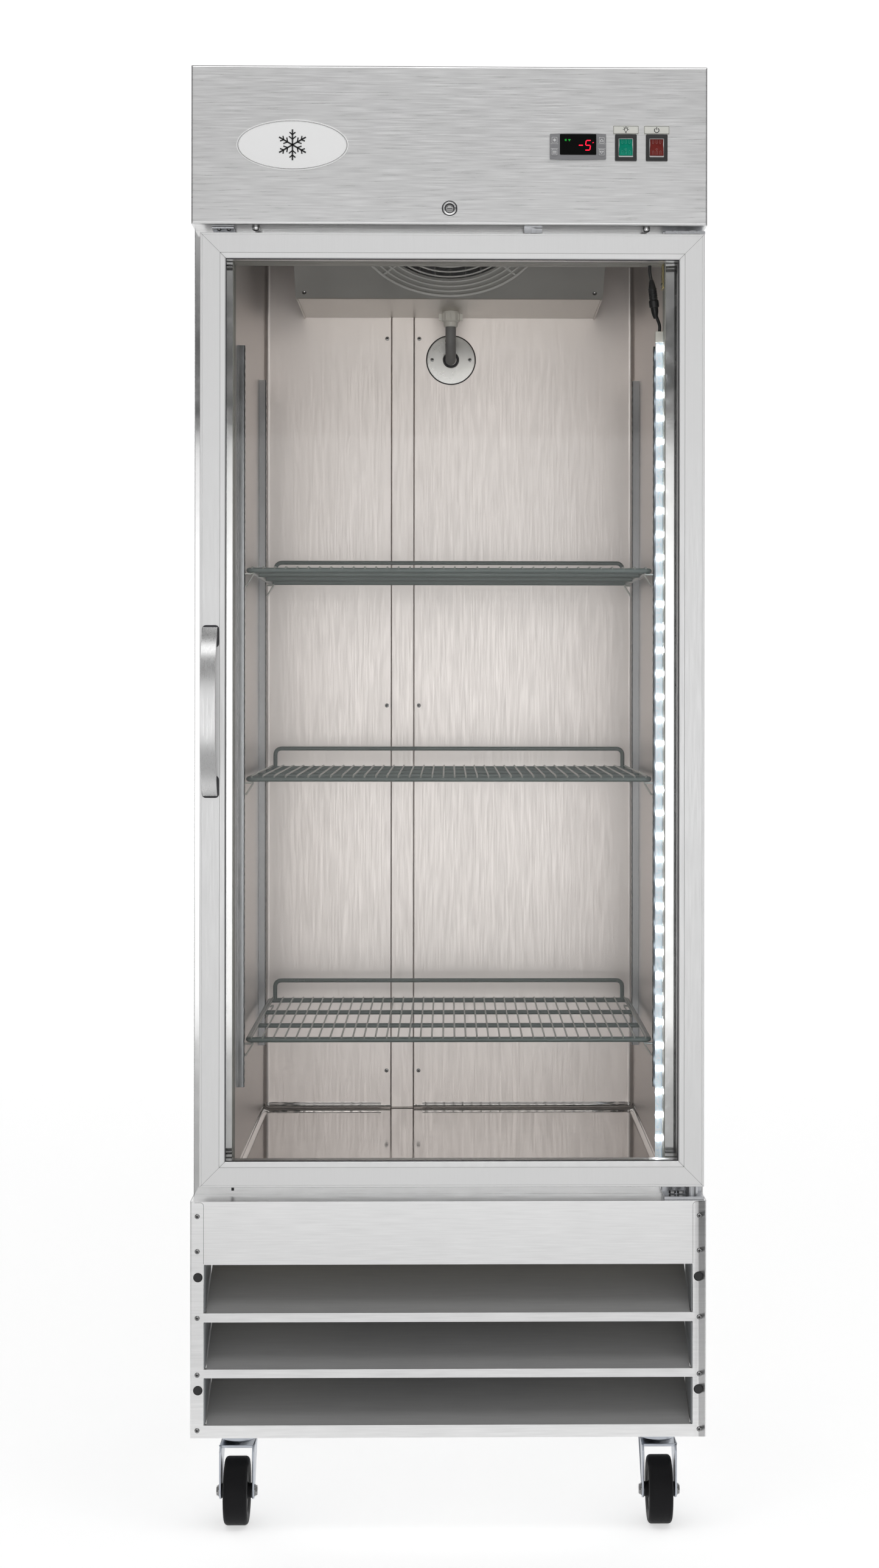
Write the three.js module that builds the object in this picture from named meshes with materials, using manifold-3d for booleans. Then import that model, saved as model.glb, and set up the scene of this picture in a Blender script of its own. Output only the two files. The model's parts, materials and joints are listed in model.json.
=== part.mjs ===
// A one-door glass reach-in cabinet on casters, built as separate named pieces.
// Millimetres. X to the right, Z up, Y backwards. Inside the cabinet group, y is the depth
// behind the plane that the header, the door and the base fascia share.
import * as THREE from 'three';
import { mergeVertices } from 'three/addons/utils/BufferGeometryUtils.js';
import Module from 'manifold-3d';

const wasm = await Module();
wasm.setup();

// ---- driving dimensions ----
const GAP = 0.3;
const SHEET = 1;
const HALF_WIDTH = 368.5;
const HEIGHT = 2103;
const BODY_DEPTH = 780;
const HANDLE_PROUD = 42;
const FACE_DEPTH = 55;
const BASE_BOTTOM = 146;
const BASE_TOP = 483;
const HEADER_BOTTOM = 1876;

const ROOM_HALF = 313.5;
const ROOM_BACK = 715;
const ROOM_FLOOR = 500;
const ROOM_CEILING = 2050;
const JAMB_BACK = 91;
const SILL = 522;
const LINTEL = 1833;
const FOAM_BOTTOM = 446;

const DOOR_LEFT = -355.5;
const DOOR_RIGHT = 364.8;
const DOOR_BOTTOM = 503;
const DOOR_TOP = 1864.4;
const DOOR_THICK = 50;
const FRAME_WIDE = 36.5;
const PANE_BITE = 11.2;
const PANE_THICK = 4;
const OUTER_PANE_FRONT = 6;
const INNER_PANE_FRONT = 22.3;
const HINGE_X = 350;
const HINGE_DEPTH = 25;
const HINGE_PIN_RADIUS = 5;

const LOCK_Z = 1899.5;
const LOCK_CAM_LONG = 44;
const LOCK_CAM_HALF = 6.5;
const LOCK_CAM_DEPTH = 28;
const LOCK_CAM_THICK = 3;

const CONTROLLER = { x: 183, z: 1988, wide: 80, high: 38, proud: 5.5 };
const KEY = { wide: 8, high: 9, fromMiddle: 33.6, fromCentre: 8.6, proud: 6, back: -1.5 };
const SWITCH = { wide: 31, high: 38, proud: 3, holeWide: 20.8, holeHigh: 27 };
const LIGHT_SWITCH = { x: 251.5, z: 1987 };
const POWER_SWITCH = { x: 295.6, z: 1987 };
const ROCKER_TILT = 7.5;

const SHELF_LEVELS = [694.8, 1080.2, 1388.8];
const SHELF_HALF = 300.5;
const SHELF_FRONT = 138;
const SHELF_REAR = 614;
const SHELF_ROD = 4;
const SHELF_WIRE = 2.6;
const SHELF_WIRE_COUNT = 36;
const GUARD_RAIL_HIGH = 33;
const PILASTER = { deep: 11.5, wide: 11.5, bottom: 625.5, top: 1720.7, front: 138, rear: 580 };

const COIL_SLOPE = THREE.MathUtils.degToRad(38);
const COIL_HALF = 248.5;
const COIL_EDGE = { depth: 497, z: 1845 };
const COIL_FAN_ALONG = 160;
const COIL_GUARD_RADIUS = 150;
const COIL_FAN_RADIUS = 112;
const DRAIN = { x: 2, depth: 640, outletZ: 1772, radius: 8.75 };

const CASTER_X = 307;
const CASTER_SWIVELS = { front: 105, rear: 675 };
const CASTER_TRAIL = 30;
const WHEEL_RADIUS = 48.5;
const WHEEL_HALF = 17.5;

// ---- turning three.js geometry into solids, and back ----
function solid(geometry) {
  const bare = new THREE.BufferGeometry();
  bare.setAttribute('position', geometry.getAttribute('position'));
  bare.setIndex(geometry.getIndex());
  const merged = mergeVertices(bare, 1e-4);
  const index = merged.getIndex().array;
  const kept = [];
  for (let i = 0; i < index.length; i += 3) {
    const [a, b, c] = [index[i], index[i + 1], index[i + 2]];
    if (a !== b && b !== c && c !== a) {
      kept.push(a, b, c);
    }
  }
  const vertProperties = new Float32Array(merged.getAttribute('position').array);
  const triVerts = new Uint32Array(kept);
  return new wasm.Manifold(new wasm.Mesh({ numProp: 3, vertProperties, triVerts }));
}

function toGeometry(body) {
  const mesh = body.getMesh();
  const geometry = new THREE.BufferGeometry();
  geometry.setAttribute('position', new THREE.BufferAttribute(mesh.vertProperties, 3));
  geometry.setIndex(new THREE.BufferAttribute(mesh.triVerts, 1));
  geometry.computeVertexNormals();
  return geometry;
}

function join(...bodies) {
  return bodies.reduce((whole, body) => whole.add(body));
}

function cut(body, ...tools) {
  return tools.reduce((left, tool) => left.subtract(tool), body);
}

// ---- basic shapes, placed by (x, depth, z) ----
const AXES = {
  alongX: new THREE.Matrix4().makeBasis(vec(0, 1, 0), vec(0, 0, 1), vec(1, 0, 0)),
  alongY: new THREE.Matrix4().makeBasis(vec(1, 0, 0), vec(0, 0, 1), vec(0, -1, 0)),
  alongDepth: new THREE.Matrix4().makeBasis(vec(1, 0, 0), vec(0, 0, -1), vec(0, 1, 0)),
};

function vec(x, y, z) {
  return new THREE.Vector3(x, y, z);
}

function box(x0, x1, y0, y1, z0, z1) {
  const block = new THREE.BoxGeometry(x1 - x0, y1 - y0, z1 - z0);
  block.translate((x0 + x1) / 2, (y0 + y1) / 2, (z0 + z1) / 2);
  return solid(block);
}

function outline(points) {
  return new THREE.Shape(points.map(([a, b]) => new THREE.Vector2(a, b)));
}

function extrude(shape, depth) {
  return new THREE.ExtrudeGeometry(shape, { depth, bevelEnabled: false, curveSegments: 6 });
}

// A section given in (depth, z), running from x0 to x1.
function prismX(points, x0, x1) {
  const geometry = extrude(outline(points), x1 - x0);
  geometry.applyMatrix4(AXES.alongX);
  geometry.translate(x0, 0, 0);
  return solid(geometry);
}

// A section given in (x, z), running from depth y0 to y1.
function prismY(shape, y0, y1) {
  const geometry = extrude(shape, y1 - y0);
  geometry.applyMatrix4(AXES.alongY);
  geometry.translate(0, y1, 0);
  return solid(geometry);
}

// A turned profile of (radius, height) about +Z.
function turned(profile, segments) {
  const points = profile.map(([r, h]) => new THREE.Vector2(r, h));
  const geometry = new THREE.LatheGeometry(points, segments);
  geometry.rotateX(Math.PI / 2);
  return geometry;
}

function turnedSolid(profile, segments, matrix = new THREE.Matrix4()) {
  return outward(turned(profile, segments).applyMatrix4(matrix));
}

// A lathe profile may be written upwards or downwards, so its faces are turned outwards here.
function outward(geometry) {
  const position = geometry.getAttribute('position');
  const index = geometry.getIndex().array;
  let volume = 0;
  for (let i = 0; i < index.length; i += 3) {
    const corner = [0, 1, 2].map((k) => new THREE.Vector3().fromBufferAttribute(position, index[i + k]));
    volume += corner[0].dot(corner[1].clone().cross(corner[2]));
  }
  if (volume < 0) {
    for (let i = 0; i < index.length; i += 3) {
      [index[i], index[i + 1]] = [index[i + 1], index[i]];
    }
  }
  return solid(geometry);
}

function disc(radius, low, high, segments, matrix) {
  return turnedSolid([[0, low], [radius, low], [radius, high], [0, high]], segments, matrix);
}

function rod(from, to, radius, sides) {
  const along = to.clone().sub(from);
  const turn = new THREE.Quaternion().setFromUnitVectors(vec(0, 0, 1), along.clone().normalize());
  const matrix = new THREE.Matrix4().compose(from, turn, vec(1, 1, 1));
  return disc(radius, 0, along.length(), sides, matrix);
}

function sweep(path, radius, sides, steps) {
  const section = new THREE.Shape();
  for (let i = 0; i < sides; i += 1) {
    const angle = (i / sides) * Math.PI * 2;
    const point = [radius * Math.cos(angle), radius * Math.sin(angle)];
    if (i === 0) {
      section.moveTo(...point);
    } else {
      section.lineTo(...point);
    }
  }
  const geometry = new THREE.ExtrudeGeometry(section, { steps, extrudePath: path, bevelEnabled: false });
  return outward(indexed(geometry));
}

function indexed(geometry) {
  const bare = new THREE.BufferGeometry();
  bare.setAttribute('position', geometry.getAttribute('position'));
  return mergeVertices(bare, 1e-4);
}

function at(x, y, z) {
  return new THREE.Matrix4().makeTranslation(x, y, z);
}

function placed(matrix, x, y, z) {
  return at(x, y, z).multiply(matrix);
}

// ---- the object as a scene graph ----
const object = new THREE.Group();
const cabinet = new THREE.Group();
cabinet.position.y = -(BODY_DEPTH - HANDLE_PROUD) / 2;
object.add(cabinet);

const steel = { color: 0xc4c4c2, roughness: 0.35, metalness: 0.9 };
const zinc = { color: 0xa9adb2, roughness: 0.4, metalness: 0.85 };
const chrome = { color: 0xd2d2d0, roughness: 0.15, metalness: 1 };
const aluminium = { color: 0xcfcfce, roughness: 0.45, metalness: 0.6 };
const blackPlastic = { color: 0x1c1c1d, roughness: 0.45, metalness: 0 };
const greyPlastic = { color: 0x5f6160, roughness: 0.6, metalness: 0 };
const whitePlastic = { color: 0xe6e6e2, roughness: 0.5, metalness: 0 };
const rubber = { color: 0x17181a, roughness: 0.75, metalness: 0 };
const glass = { color: 0xdfe8e4, roughness: 0.05, metalness: 0, transparent: true, opacity: 0.3 };
const foam = { color: 0xd9c690, roughness: 0.9, metalness: 0 };
const darkPaint = { color: 0x2b2c2e, roughness: 0.6, metalness: 0.2 };
const coilPaint = { color: 0x6a6d6b, roughness: 0.6, metalness: 0.2 };
const epoxy = { color: 0x5d6a66, roughness: 0.5, metalness: 0.3 };
const greenLens = { color: 0x2f9a4e, roughness: 0.25, metalness: 0 };
const redLens = { color: 0x7c1f1d, roughness: 0.25, metalness: 0 };

function add(name, body, look) {
  const mesh = new THREE.Mesh(toGeometry(body), new THREE.MeshStandardMaterial(look));
  mesh.name = name;
  cabinet.add(mesh);
}

// ---- cabinet shell ----
function outerShell() {
  const inner = HALF_WIDTH - SHEET;
  for (const [name, side] of [['side_panel_left', -1], ['side_panel_right', 1]]) {
    const [x0, x1] = side < 0 ? [-HALF_WIDTH, -inner] : [inner, HALF_WIDTH];
    add(name, box(x0, x1, FACE_DEPTH, BODY_DEPTH, BASE_BOTTOM, HEIGHT), steel);
  }
  const reach = inner - GAP;
  const back = box(-reach, reach, BODY_DEPTH - SHEET, BODY_DEPTH, FOAM_BOTTOM, HEIGHT - SHEET - GAP);
  add('back_panel', back, steel);
  add('top_panel', box(-reach, reach, FACE_DEPTH, BODY_DEPTH, HEIGHT - SHEET, HEIGHT), steel);
}

// The tub, its jamb and its front flange, each grown by the same margin.
function linerOutside(margin) {
  const side = ROOM_HALF + SHEET + margin;
  const tub = box(
    -side, side,
    JAMB_BACK - margin, ROOM_BACK + SHEET + margin,
    ROOM_FLOOR - SHEET - margin, ROOM_CEILING + SHEET + margin,
  );
  const jambTop = LINTEL + SHEET + margin;
  const jamb = box(-side, side, FACE_DEPTH, JAMB_BACK + SHEET, SILL - SHEET - margin, jambTop);
  return join(tub, jamb);
}

function drainHole(radius, depth0, depth1) {
  return disc(radius, depth0, depth1, 16, placed(AXES.alongDepth, DRAIN.x, 0, DRAIN.outletZ));
}

function innerLiner() {
  const reach = HALF_WIDTH - SHEET - GAP;
  const flangeTop = HEIGHT - SHEET - GAP;
  const flange = box(-reach, reach, FACE_DEPTH, FACE_DEPTH + SHEET, FOAM_BOTTOM, flangeTop);
  const room = box(-ROOM_HALF, ROOM_HALF, JAMB_BACK + SHEET, ROOM_BACK, ROOM_FLOOR, ROOM_CEILING);
  const opening = box(-ROOM_HALF, ROOM_HALF, 0, JAMB_BACK + 2 * SHEET, SILL, LINTEL);
  const hole = drainHole(DRAIN.radius + 2.25, ROOM_BACK - 5, ROOM_BACK + 5);
  add('inner_liner', cut(join(linerOutside(0), flange), room, opening, hole), steel);
}

function insulation() {
  const reach = HALF_WIDTH - SHEET - GAP;
  const front = FACE_DEPTH + SHEET + GAP;
  const back = BODY_DEPTH - SHEET - GAP;
  const block = box(-reach, reach, front, back, FOAM_BOTTOM, HEIGHT - SHEET - GAP);
  const hole = drainHole(DRAIN.radius + 2.25, ROOM_BACK - 5, ROOM_BACK + 12);
  add('insulation', cut(block, linerOutside(GAP), hole), foam);
}

// ---- base: deck, fascia with louvres, refrigeration machine ----
function baseDeck() {
  const reach = HALF_WIDTH - SHEET - GAP;
  const thick = 2;
  const lip = 42;
  const glandRadius = 9;
  const pan = box(-reach, reach, FACE_DEPTH, BODY_DEPTH, BASE_BOTTOM, BASE_BOTTOM + thick);
  const lipTop = BASE_BOTTOM + lip;
  const left = box(-reach, -reach + thick, FACE_DEPTH, BODY_DEPTH, BASE_BOTTOM, lipTop);
  const right = box(reach - thick, reach, FACE_DEPTH, BODY_DEPTH, BASE_BOTTOM, lipTop);
  const rear = box(-reach, reach, BODY_DEPTH - thick, BODY_DEPTH, BASE_BOTTOM, lipTop);
  const glandPlace = placed(AXES.alongDepth, 280, 0, BASE_BOTTOM + 24);
  const gland = disc(glandRadius, BODY_DEPTH - 14, BODY_DEPTH, 16, glandPlace);
  const bore = disc(glandRadius - 4.5, BODY_DEPTH - 20, BODY_DEPTH + 5, 12, glandPlace);
  add('base_deck', cut(join(pan, left, right, rear, gland), bore), steel);
}

function tray(bottom, top) {
  const shell = box(-HALF_WIDTH, HALF_WIDTH, 0, FACE_DEPTH - GAP, bottom, top);
  const reach = HALF_WIDTH - SHEET;
  return cut(shell, box(-reach, reach, SHEET, FACE_DEPTH, bottom + SHEET, top - SHEET));
}

function louvreGrille() {
  const openings = [[164, 231.5], [243.8, 311], [324, 393]];
  const openingHalf = 349;
  const bladeHalf = 345;
  const bladeBack = 100;
  const bladeRise = 50;
  let fascia = tray(BASE_BOTTOM, BASE_TOP);
  for (const [low, high] of openings) {
    fascia = cut(fascia, box(-openingHalf, openingHalf, -1, SHEET + 1, low, high));
  }
  for (const [low] of openings) {
    const blade = [
      [0, low - 1.4], [0, low], [SHEET, low],
      [bladeBack, low + bladeRise], [bladeBack, low + bladeRise - 1.4], [SHEET, low - 1.4],
    ];
    fascia = join(fascia, prismX(blade, -bladeHalf, bladeHalf));
  }
  add('louvre_grille', fascia, steel);
}

function compressor() {
  const place = at(150, 560, BASE_BOTTOM + 2 + GAP);
  const foot = box(45, 255, 480, 640, BASE_BOTTOM + 2 + GAP, BASE_BOTTOM + 6);
  const pot = turnedSolid(
    [[0, 2], [70, 2], [88, 22], [92, 60], [92, 150], [84, 182], [55, 202], [0, 208]],
    28, place,
  );
  const terminals = box(235, 262, 530, 590, 210, 280);
  const suction = rod(vec(95, 560, 300), vec(40, 560, 300), 6, 10);
  add('compressor', join(foot, pot, terminals, suction), darkPaint);
}

function condenser() {
  const half = 170;
  const [low, high] = [160, 420];
  const [front, spine] = [115, 152];
  const fins = 20;
  const pitch = (2 * half) / fins;
  const comb = [[-half, spine + 2], [half, spine + 2]];
  for (let i = fins - 1; i >= 0; i -= 1) {
    const x = -half + i * pitch;
    comb.push([x + pitch, spine], [x + 1.5, spine], [x + 1.5, front], [x, front]);
  }
  const shape = outline(comb);
  const geometry = extrude(shape, high - low);
  geometry.translate(0, 0, low);
  const centreZ = (low + high) / 2;
  const place = placed(AXES.alongDepth, 0, 0, centreZ);
  const body = cut(solid(geometry), disc(116, spine - 0.5, spine + 5, 32, place));
  const strutBack = 194;
  const strut = box(-142, 142, strutBack - 4, strutBack, centreZ - 8, centreZ + 8);
  const legs = [-1, 1].map((side) => {
    const [x0, x1] = side < 0 ? [-142, -137] : [137, 142];
    return box(x0, x1, spine + 1, strutBack, centreZ - 8, centreZ + 8);
  });
  const stub = disc(13, 166, strutBack - 1, 16, place);
  add('condenser', join(body, strut, ...legs, stub), zinc);
}

// A fan whose cup-shaped hub opens towards its own +Z, over the motor's stub.
function fan(radius, blades, chord) {
  const pitch = THREE.MathUtils.degToRad(28);
  let body = turnedSolid([[0, 0], [30, 0], [30, 24], [13.4, 24], [13.4, 3], [0, 3]], 20);
  for (let i = 0; i < blades; i += 1) {
    const blade = new THREE.BoxGeometry(radius - 28, chord, 2.2);
    blade.translate((radius + 28) / 2, 0, 0);
    blade.rotateX(pitch);
    blade.translate(0, 0, 12);
    blade.rotateZ((i / blades) * Math.PI * 2);
    body = join(body, solid(blade));
  }
  return body;
}

function transformed(body, matrix) {
  return solid(toGeometry(body).applyMatrix4(matrix));
}

function condenserFan() {
  const place = placed(AXES.alongDepth, 0, 161, 290);
  add('condenser_fan', transformed(fan(108, 5, 56), place), blackPlastic);
}

// ---- header with its controls and lock ----
function rectangleY(x, z, wide, high, y0, y1) {
  return box(x - wide / 2, x + wide / 2, y0, y1, z - high / 2, z + high / 2);
}

function headerPanel() {
  const controllerHole = rectangleY(CONTROLLER.x, CONTROLLER.z, 71, 29, -1, 3);
  const switchHoles = [LIGHT_SWITCH, POWER_SWITCH].map((s) => rectangleY(s.x, s.z, 27, 34, -1, 3));
  const lockHole = disc(9.8, -1, 3, 24, placed(AXES.alongDepth, 0, 0, LOCK_Z));
  const slotFront = LOCK_CAM_DEPTH - 2;
  const slotBack = LOCK_CAM_DEPTH + LOCK_CAM_THICK + 2;
  const camSlot = box(-42, 13, slotFront, slotBack, HEADER_BOTTOM - 1, HEADER_BOTTOM + SHEET + 1);
  const shell = tray(HEADER_BOTTOM, HEIGHT);
  add('header_panel', cut(shell, controllerHole, ...switchHoles, lockHole, camSlot), steel);
}

const KEYS = [['key_set', -1, 1], ['key_defrost', -1, -1], ['key_up', 1, 1], ['key_down', 1, -1]];

function controller() {
  const c = CONTROLLER;
  let body = rectangleY(c.x, c.z, c.wide, c.high, -c.proud, -GAP);
  body = join(body, rectangleY(c.x, c.z, 70.4, 28.4, -1, 46));
  const clear = 0.35;
  for (const [, column, row] of KEYS) {
    const x = c.x + column * KEY.fromMiddle;
    const z = c.z + row * KEY.fromCentre;
    const pocket = rectangleY(x, z, KEY.wide + 2 * clear, KEY.high + 2 * clear, -c.proud - 1, -0.8);
    body = cut(body, pocket);
  }
  add('controller', body, blackPlastic);
  for (const [name, column, row] of KEYS) {
    const x = c.x + column * KEY.fromMiddle;
    const z = c.z + row * KEY.fromCentre;
    add(name, rectangleY(x, z, KEY.wide, KEY.high, -KEY.proud, KEY.back), greyPlastic);
  }
}

// The rocker's section in (depth, z) about its pivot, level and then tilted to its rest side.
function rockerSwitch(name, place, look) {
  const bezel = rectangleY(place.x, place.z, SWITCH.wide, SWITCH.high, -SWITCH.proud, -GAP);
  const body = rectangleY(place.x, place.z, 26.4, 33.4, -1, 24);
  const well = rectangleY(place.x, place.z, SWITCH.holeWide, SWITCH.holeHigh, -SWITCH.proud - 1, 18);
  add(`${name}_housing`, cut(join(bezel, body), well), blackPlastic);
  const half = SWITCH.holeWide / 2 - 0.6;
  const section = [[-7, -12.2], [-5.4, 0], [-7, 12.2], [2, 11], [6, 4], [6, -4], [2, -11]];
  const geometry = toGeometry(prismX(section, -half, half));
  geometry.rotateX(THREE.MathUtils.degToRad(-ROCKER_TILT));
  geometry.translate(place.x, ROCKER_PIVOT_DEPTH, place.z);
  add(`${name}_rocker`, solid(geometry), look);
}

const ROCKER_PIVOT_DEPTH = 5;

function lock() {
  const place = placed(AXES.alongDepth, 0, 0, LOCK_Z);
  const barrel = join(disc(11.3, -2.5, -GAP, 24, place), disc(9.5, -1, 26, 24, place));
  add('lock_barrel', cut(barrel, disc(6.5, -5, 30, 20, place)), chrome);
  const plug = disc(6.2, -2.9, LOCK_CAM_DEPTH + LOCK_CAM_THICK, 20, place);
  const camBack = LOCK_CAM_DEPTH + LOCK_CAM_THICK;
  const [camLow, camHigh] = [LOCK_Z - LOCK_CAM_HALF, LOCK_Z + LOCK_CAM_HALF];
  const cam = box(-LOCK_CAM_LONG, LOCK_CAM_HALF, LOCK_CAM_DEPTH, camBack, camLow, camHigh);
  const keyway = box(-4, 4, -4, 6, LOCK_Z - 0.8, LOCK_Z + 0.8);
  add('lock_plug', cut(join(plug, cam), keyway), chrome);
}

// ---- door ----
// The frame member's section: u runs inwards from the door's edge, v backwards from its front.
function frameSection() {
  const lip = FRAME_WIDE;
  const channel = FRAME_WIDE - PANE_BITE - GAP;
  const channelBack = INNER_PANE_FRONT + PANE_THICK + GAP;
  const shape = outline([
    [0, 0.6], [0.6, 0], [2.8, 0], [3, 0.4], [3.5, 0.4], [3.7, 0],
    [lip - 8, 0], [lip - 7.8, 0.5], [lip - 1.2, 0.8], [lip, 1.8], [lip, OUTER_PANE_FRONT - GAP],
    [channel, OUTER_PANE_FRONT - GAP], [channel, channelBack], [channel + 8, channelBack],
    [channel + 8, DOOR_THICK - 1], [channel + 7, DOOR_THICK], [1, DOOR_THICK], [0, DOOR_THICK - 1],
  ]);
  const hollow = [[2.6, 3], [channel - 2.6, 3], [channel - 2.6, DOOR_THICK - 3], [2.6, DOOR_THICK - 3]];
  shape.holes.push(outline(hollow));
  return shape;
}

// One mitred member of the given length, its ends following u.
function frameMember(length, basis, origin) {
  const geometry = extrude(frameSection(), length);
  const position = geometry.getAttribute('position');
  const shy = 0.22;
  for (let i = 0; i < position.count; i += 1) {
    const inset = position.getX(i) + shy;
    const end = position.getZ(i) > length / 2;
    position.setZ(i, end ? length - inset : inset);
  }
  geometry.applyMatrix4(basis);
  geometry.translate(origin.x, origin.y, origin.z);
  return solid(geometry);
}

function doorFrame() {
  const wide = DOOR_RIGHT - DOOR_LEFT;
  const high = DOOR_TOP - DOOR_BOTTOM;
  const basis = (u, l) => new THREE.Matrix4().makeBasis(u, vec(0, 1, 0), l);
  const left = frameMember(high, basis(vec(1, 0, 0), vec(0, 0, 1)), vec(DOOR_LEFT, 0, DOOR_BOTTOM));
  const right = frameMember(high, basis(vec(-1, 0, 0), vec(0, 0, -1)), vec(DOOR_RIGHT, 0, DOOR_TOP));
  const low = frameMember(wide, basis(vec(0, 0, 1), vec(-1, 0, 0)), vec(DOOR_RIGHT, 0, DOOR_BOTTOM));
  const top = frameMember(wide, basis(vec(0, 0, -1), vec(1, 0, 0)), vec(DOOR_LEFT, 0, DOOR_TOP));
  const pinHole = disc(HINGE_PIN_RADIUS + 0.4, -4, 4, 16);
  const lowHole = transformed(pinHole, at(HINGE_X, HINGE_DEPTH, DOOR_BOTTOM));
  const topHole = transformed(pinHole, at(HINGE_X, HINGE_DEPTH, DOOR_TOP));
  const camBack = LOCK_CAM_DEPTH + LOCK_CAM_THICK + 2;
  const camPocket = box(-29, 9, LOCK_CAM_DEPTH - 2, camBack, DOOR_TOP - 4, DOOR_TOP + 4);
  add('door_stile_left', left, aluminium);
  add('door_stile_right', right, aluminium);
  add('door_rail_bottom', cut(low, lowHole), aluminium);
  add('door_rail_top', cut(top, topHole, camPocket), aluminium);
}

function doorGlass() {
  const inset = FRAME_WIDE - PANE_BITE;
  const rows = [['glass_outer', OUTER_PANE_FRONT], ['glass_inner', INNER_PANE_FRONT]];
  for (const [name, front] of rows) {
    const pane = box(
      DOOR_LEFT + inset, DOOR_RIGHT - inset,
      front, front + PANE_THICK,
      DOOR_BOTTOM + inset, DOOR_TOP - inset,
    );
    add(name, pane, glass);
  }
}

function doorGasket() {
  const wide = 13;
  const [x0, x1] = [DOOR_LEFT + 15, DOOR_RIGHT - 15];
  const [z0, z1] = [DOOR_BOTTOM + 3.5, DOOR_TOP - 12.5];
  const ring = outline([[x0, z0], [x1, z0], [x1, z1], [x0, z1]]);
  const [a0, a1, b0, b1] = [x0 + wide, x1 - wide, z0 + wide, z1 - wide];
  ring.holes.push(outline([[a0, b0], [a1, b0], [a1, b1], [a0, b1]]));
  add('door_gasket', prismY(ring, DOOR_THICK + GAP, FACE_DEPTH - 0.5), rubber);
}

// A bowed flat bar: its outline in (depth, z) bulges from the door by a power curve.
function doorHandle() {
  const middle = 1181.5;
  const half = 121.5;
  const steps = 14;
  const bow = (reach, proud, power) => {
    const points = [];
    for (let i = 0; i <= steps; i += 1) {
      const t = -Math.cos((i / steps) * Math.PI);
      const depth = -GAP - proud * (1 - Math.abs(t) ** power);
      points.push([depth, middle + reach * t]);
    }
    return points;
  };
  const outer = bow(half, HANDLE_PROUD - GAP, 3.4);
  const inner = bow(half - 14, HANDLE_PROUD - GAP - 9, 3.4);
  const bar = prismX([...outer, ...inner.reverse()], -351, -330);
  add('door_handle', bar, aluminium);
}

// ---- hinges ----
function hinges() {
  const face = FACE_DEPTH - GAP;
  const plateTop = HEADER_BOTTOM - GAP;
  const topPlate = box(309, 366, 8, face, DOOR_TOP + 1.6, DOOR_TOP + 5.6);
  const topFlange = box(309, 366, face - 6, face, DOOR_TOP + 1.6, plateTop);
  const topPlace = at(HINGE_X, HINGE_DEPTH, 0);
  const topPin = disc(HINGE_PIN_RADIUS, DOOR_TOP - 11, DOOR_TOP + 8, 16, topPlace);
  const topBoss = disc(9, DOOR_TOP + 1.6, DOOR_TOP + 8, 16, topPlace);
  add('hinge_top', join(topPlate, topFlange, topPin, topBoss), zinc);
  const ledge = BASE_TOP + GAP;
  const lowPlate = box(309, 366, 8, face, ledge, ledge + 4);
  const lowFlange = box(309, 366, face - 6, face, ledge, ledge + 14);
  const sleeve = disc(8, ledge, DOOR_BOTTOM - GAP, 20, topPlace);
  const lowPin = disc(HINGE_PIN_RADIUS, ledge, DOOR_BOTTOM + 11, 16, topPlace);
  add('hinge_bottom', join(lowPlate, lowFlange, sleeve, lowPin), zinc);
}

// ---- shelving ----
function pilaster(name, side, depth) {
  const p = PILASTER;
  const wall = ROOM_HALF - GAP;
  const front = wall - p.deep;
  const span = (a, b) => (side < 0 ? [-b, -a] : [a, b]);
  const bar = box(...span(front, wall), depth - p.wide / 2, depth + p.wide / 2, p.bottom, p.top);
  const groove = box(
    ...span(front + 1.2, wall + 1),
    depth - p.wide / 2 + 1.2, depth + p.wide / 2 - 1.2,
    p.bottom - 1, p.top + 1,
  );
  let body = cut(bar, groove);
  for (const level of SHELF_LEVELS) {
    const seat = level - SHELF_ROD - GAP;
    const wedge = outline([
      [side * (front + 0.6), seat - 20], [side * (front + 0.6), seat],
      [side * (front - 13), seat], [side * (front - 13), seat - 3],
    ]);
    body = join(body, prismY(wedge, depth - 4, depth + 4));
  }
  add(name, body, chrome);
}

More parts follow.
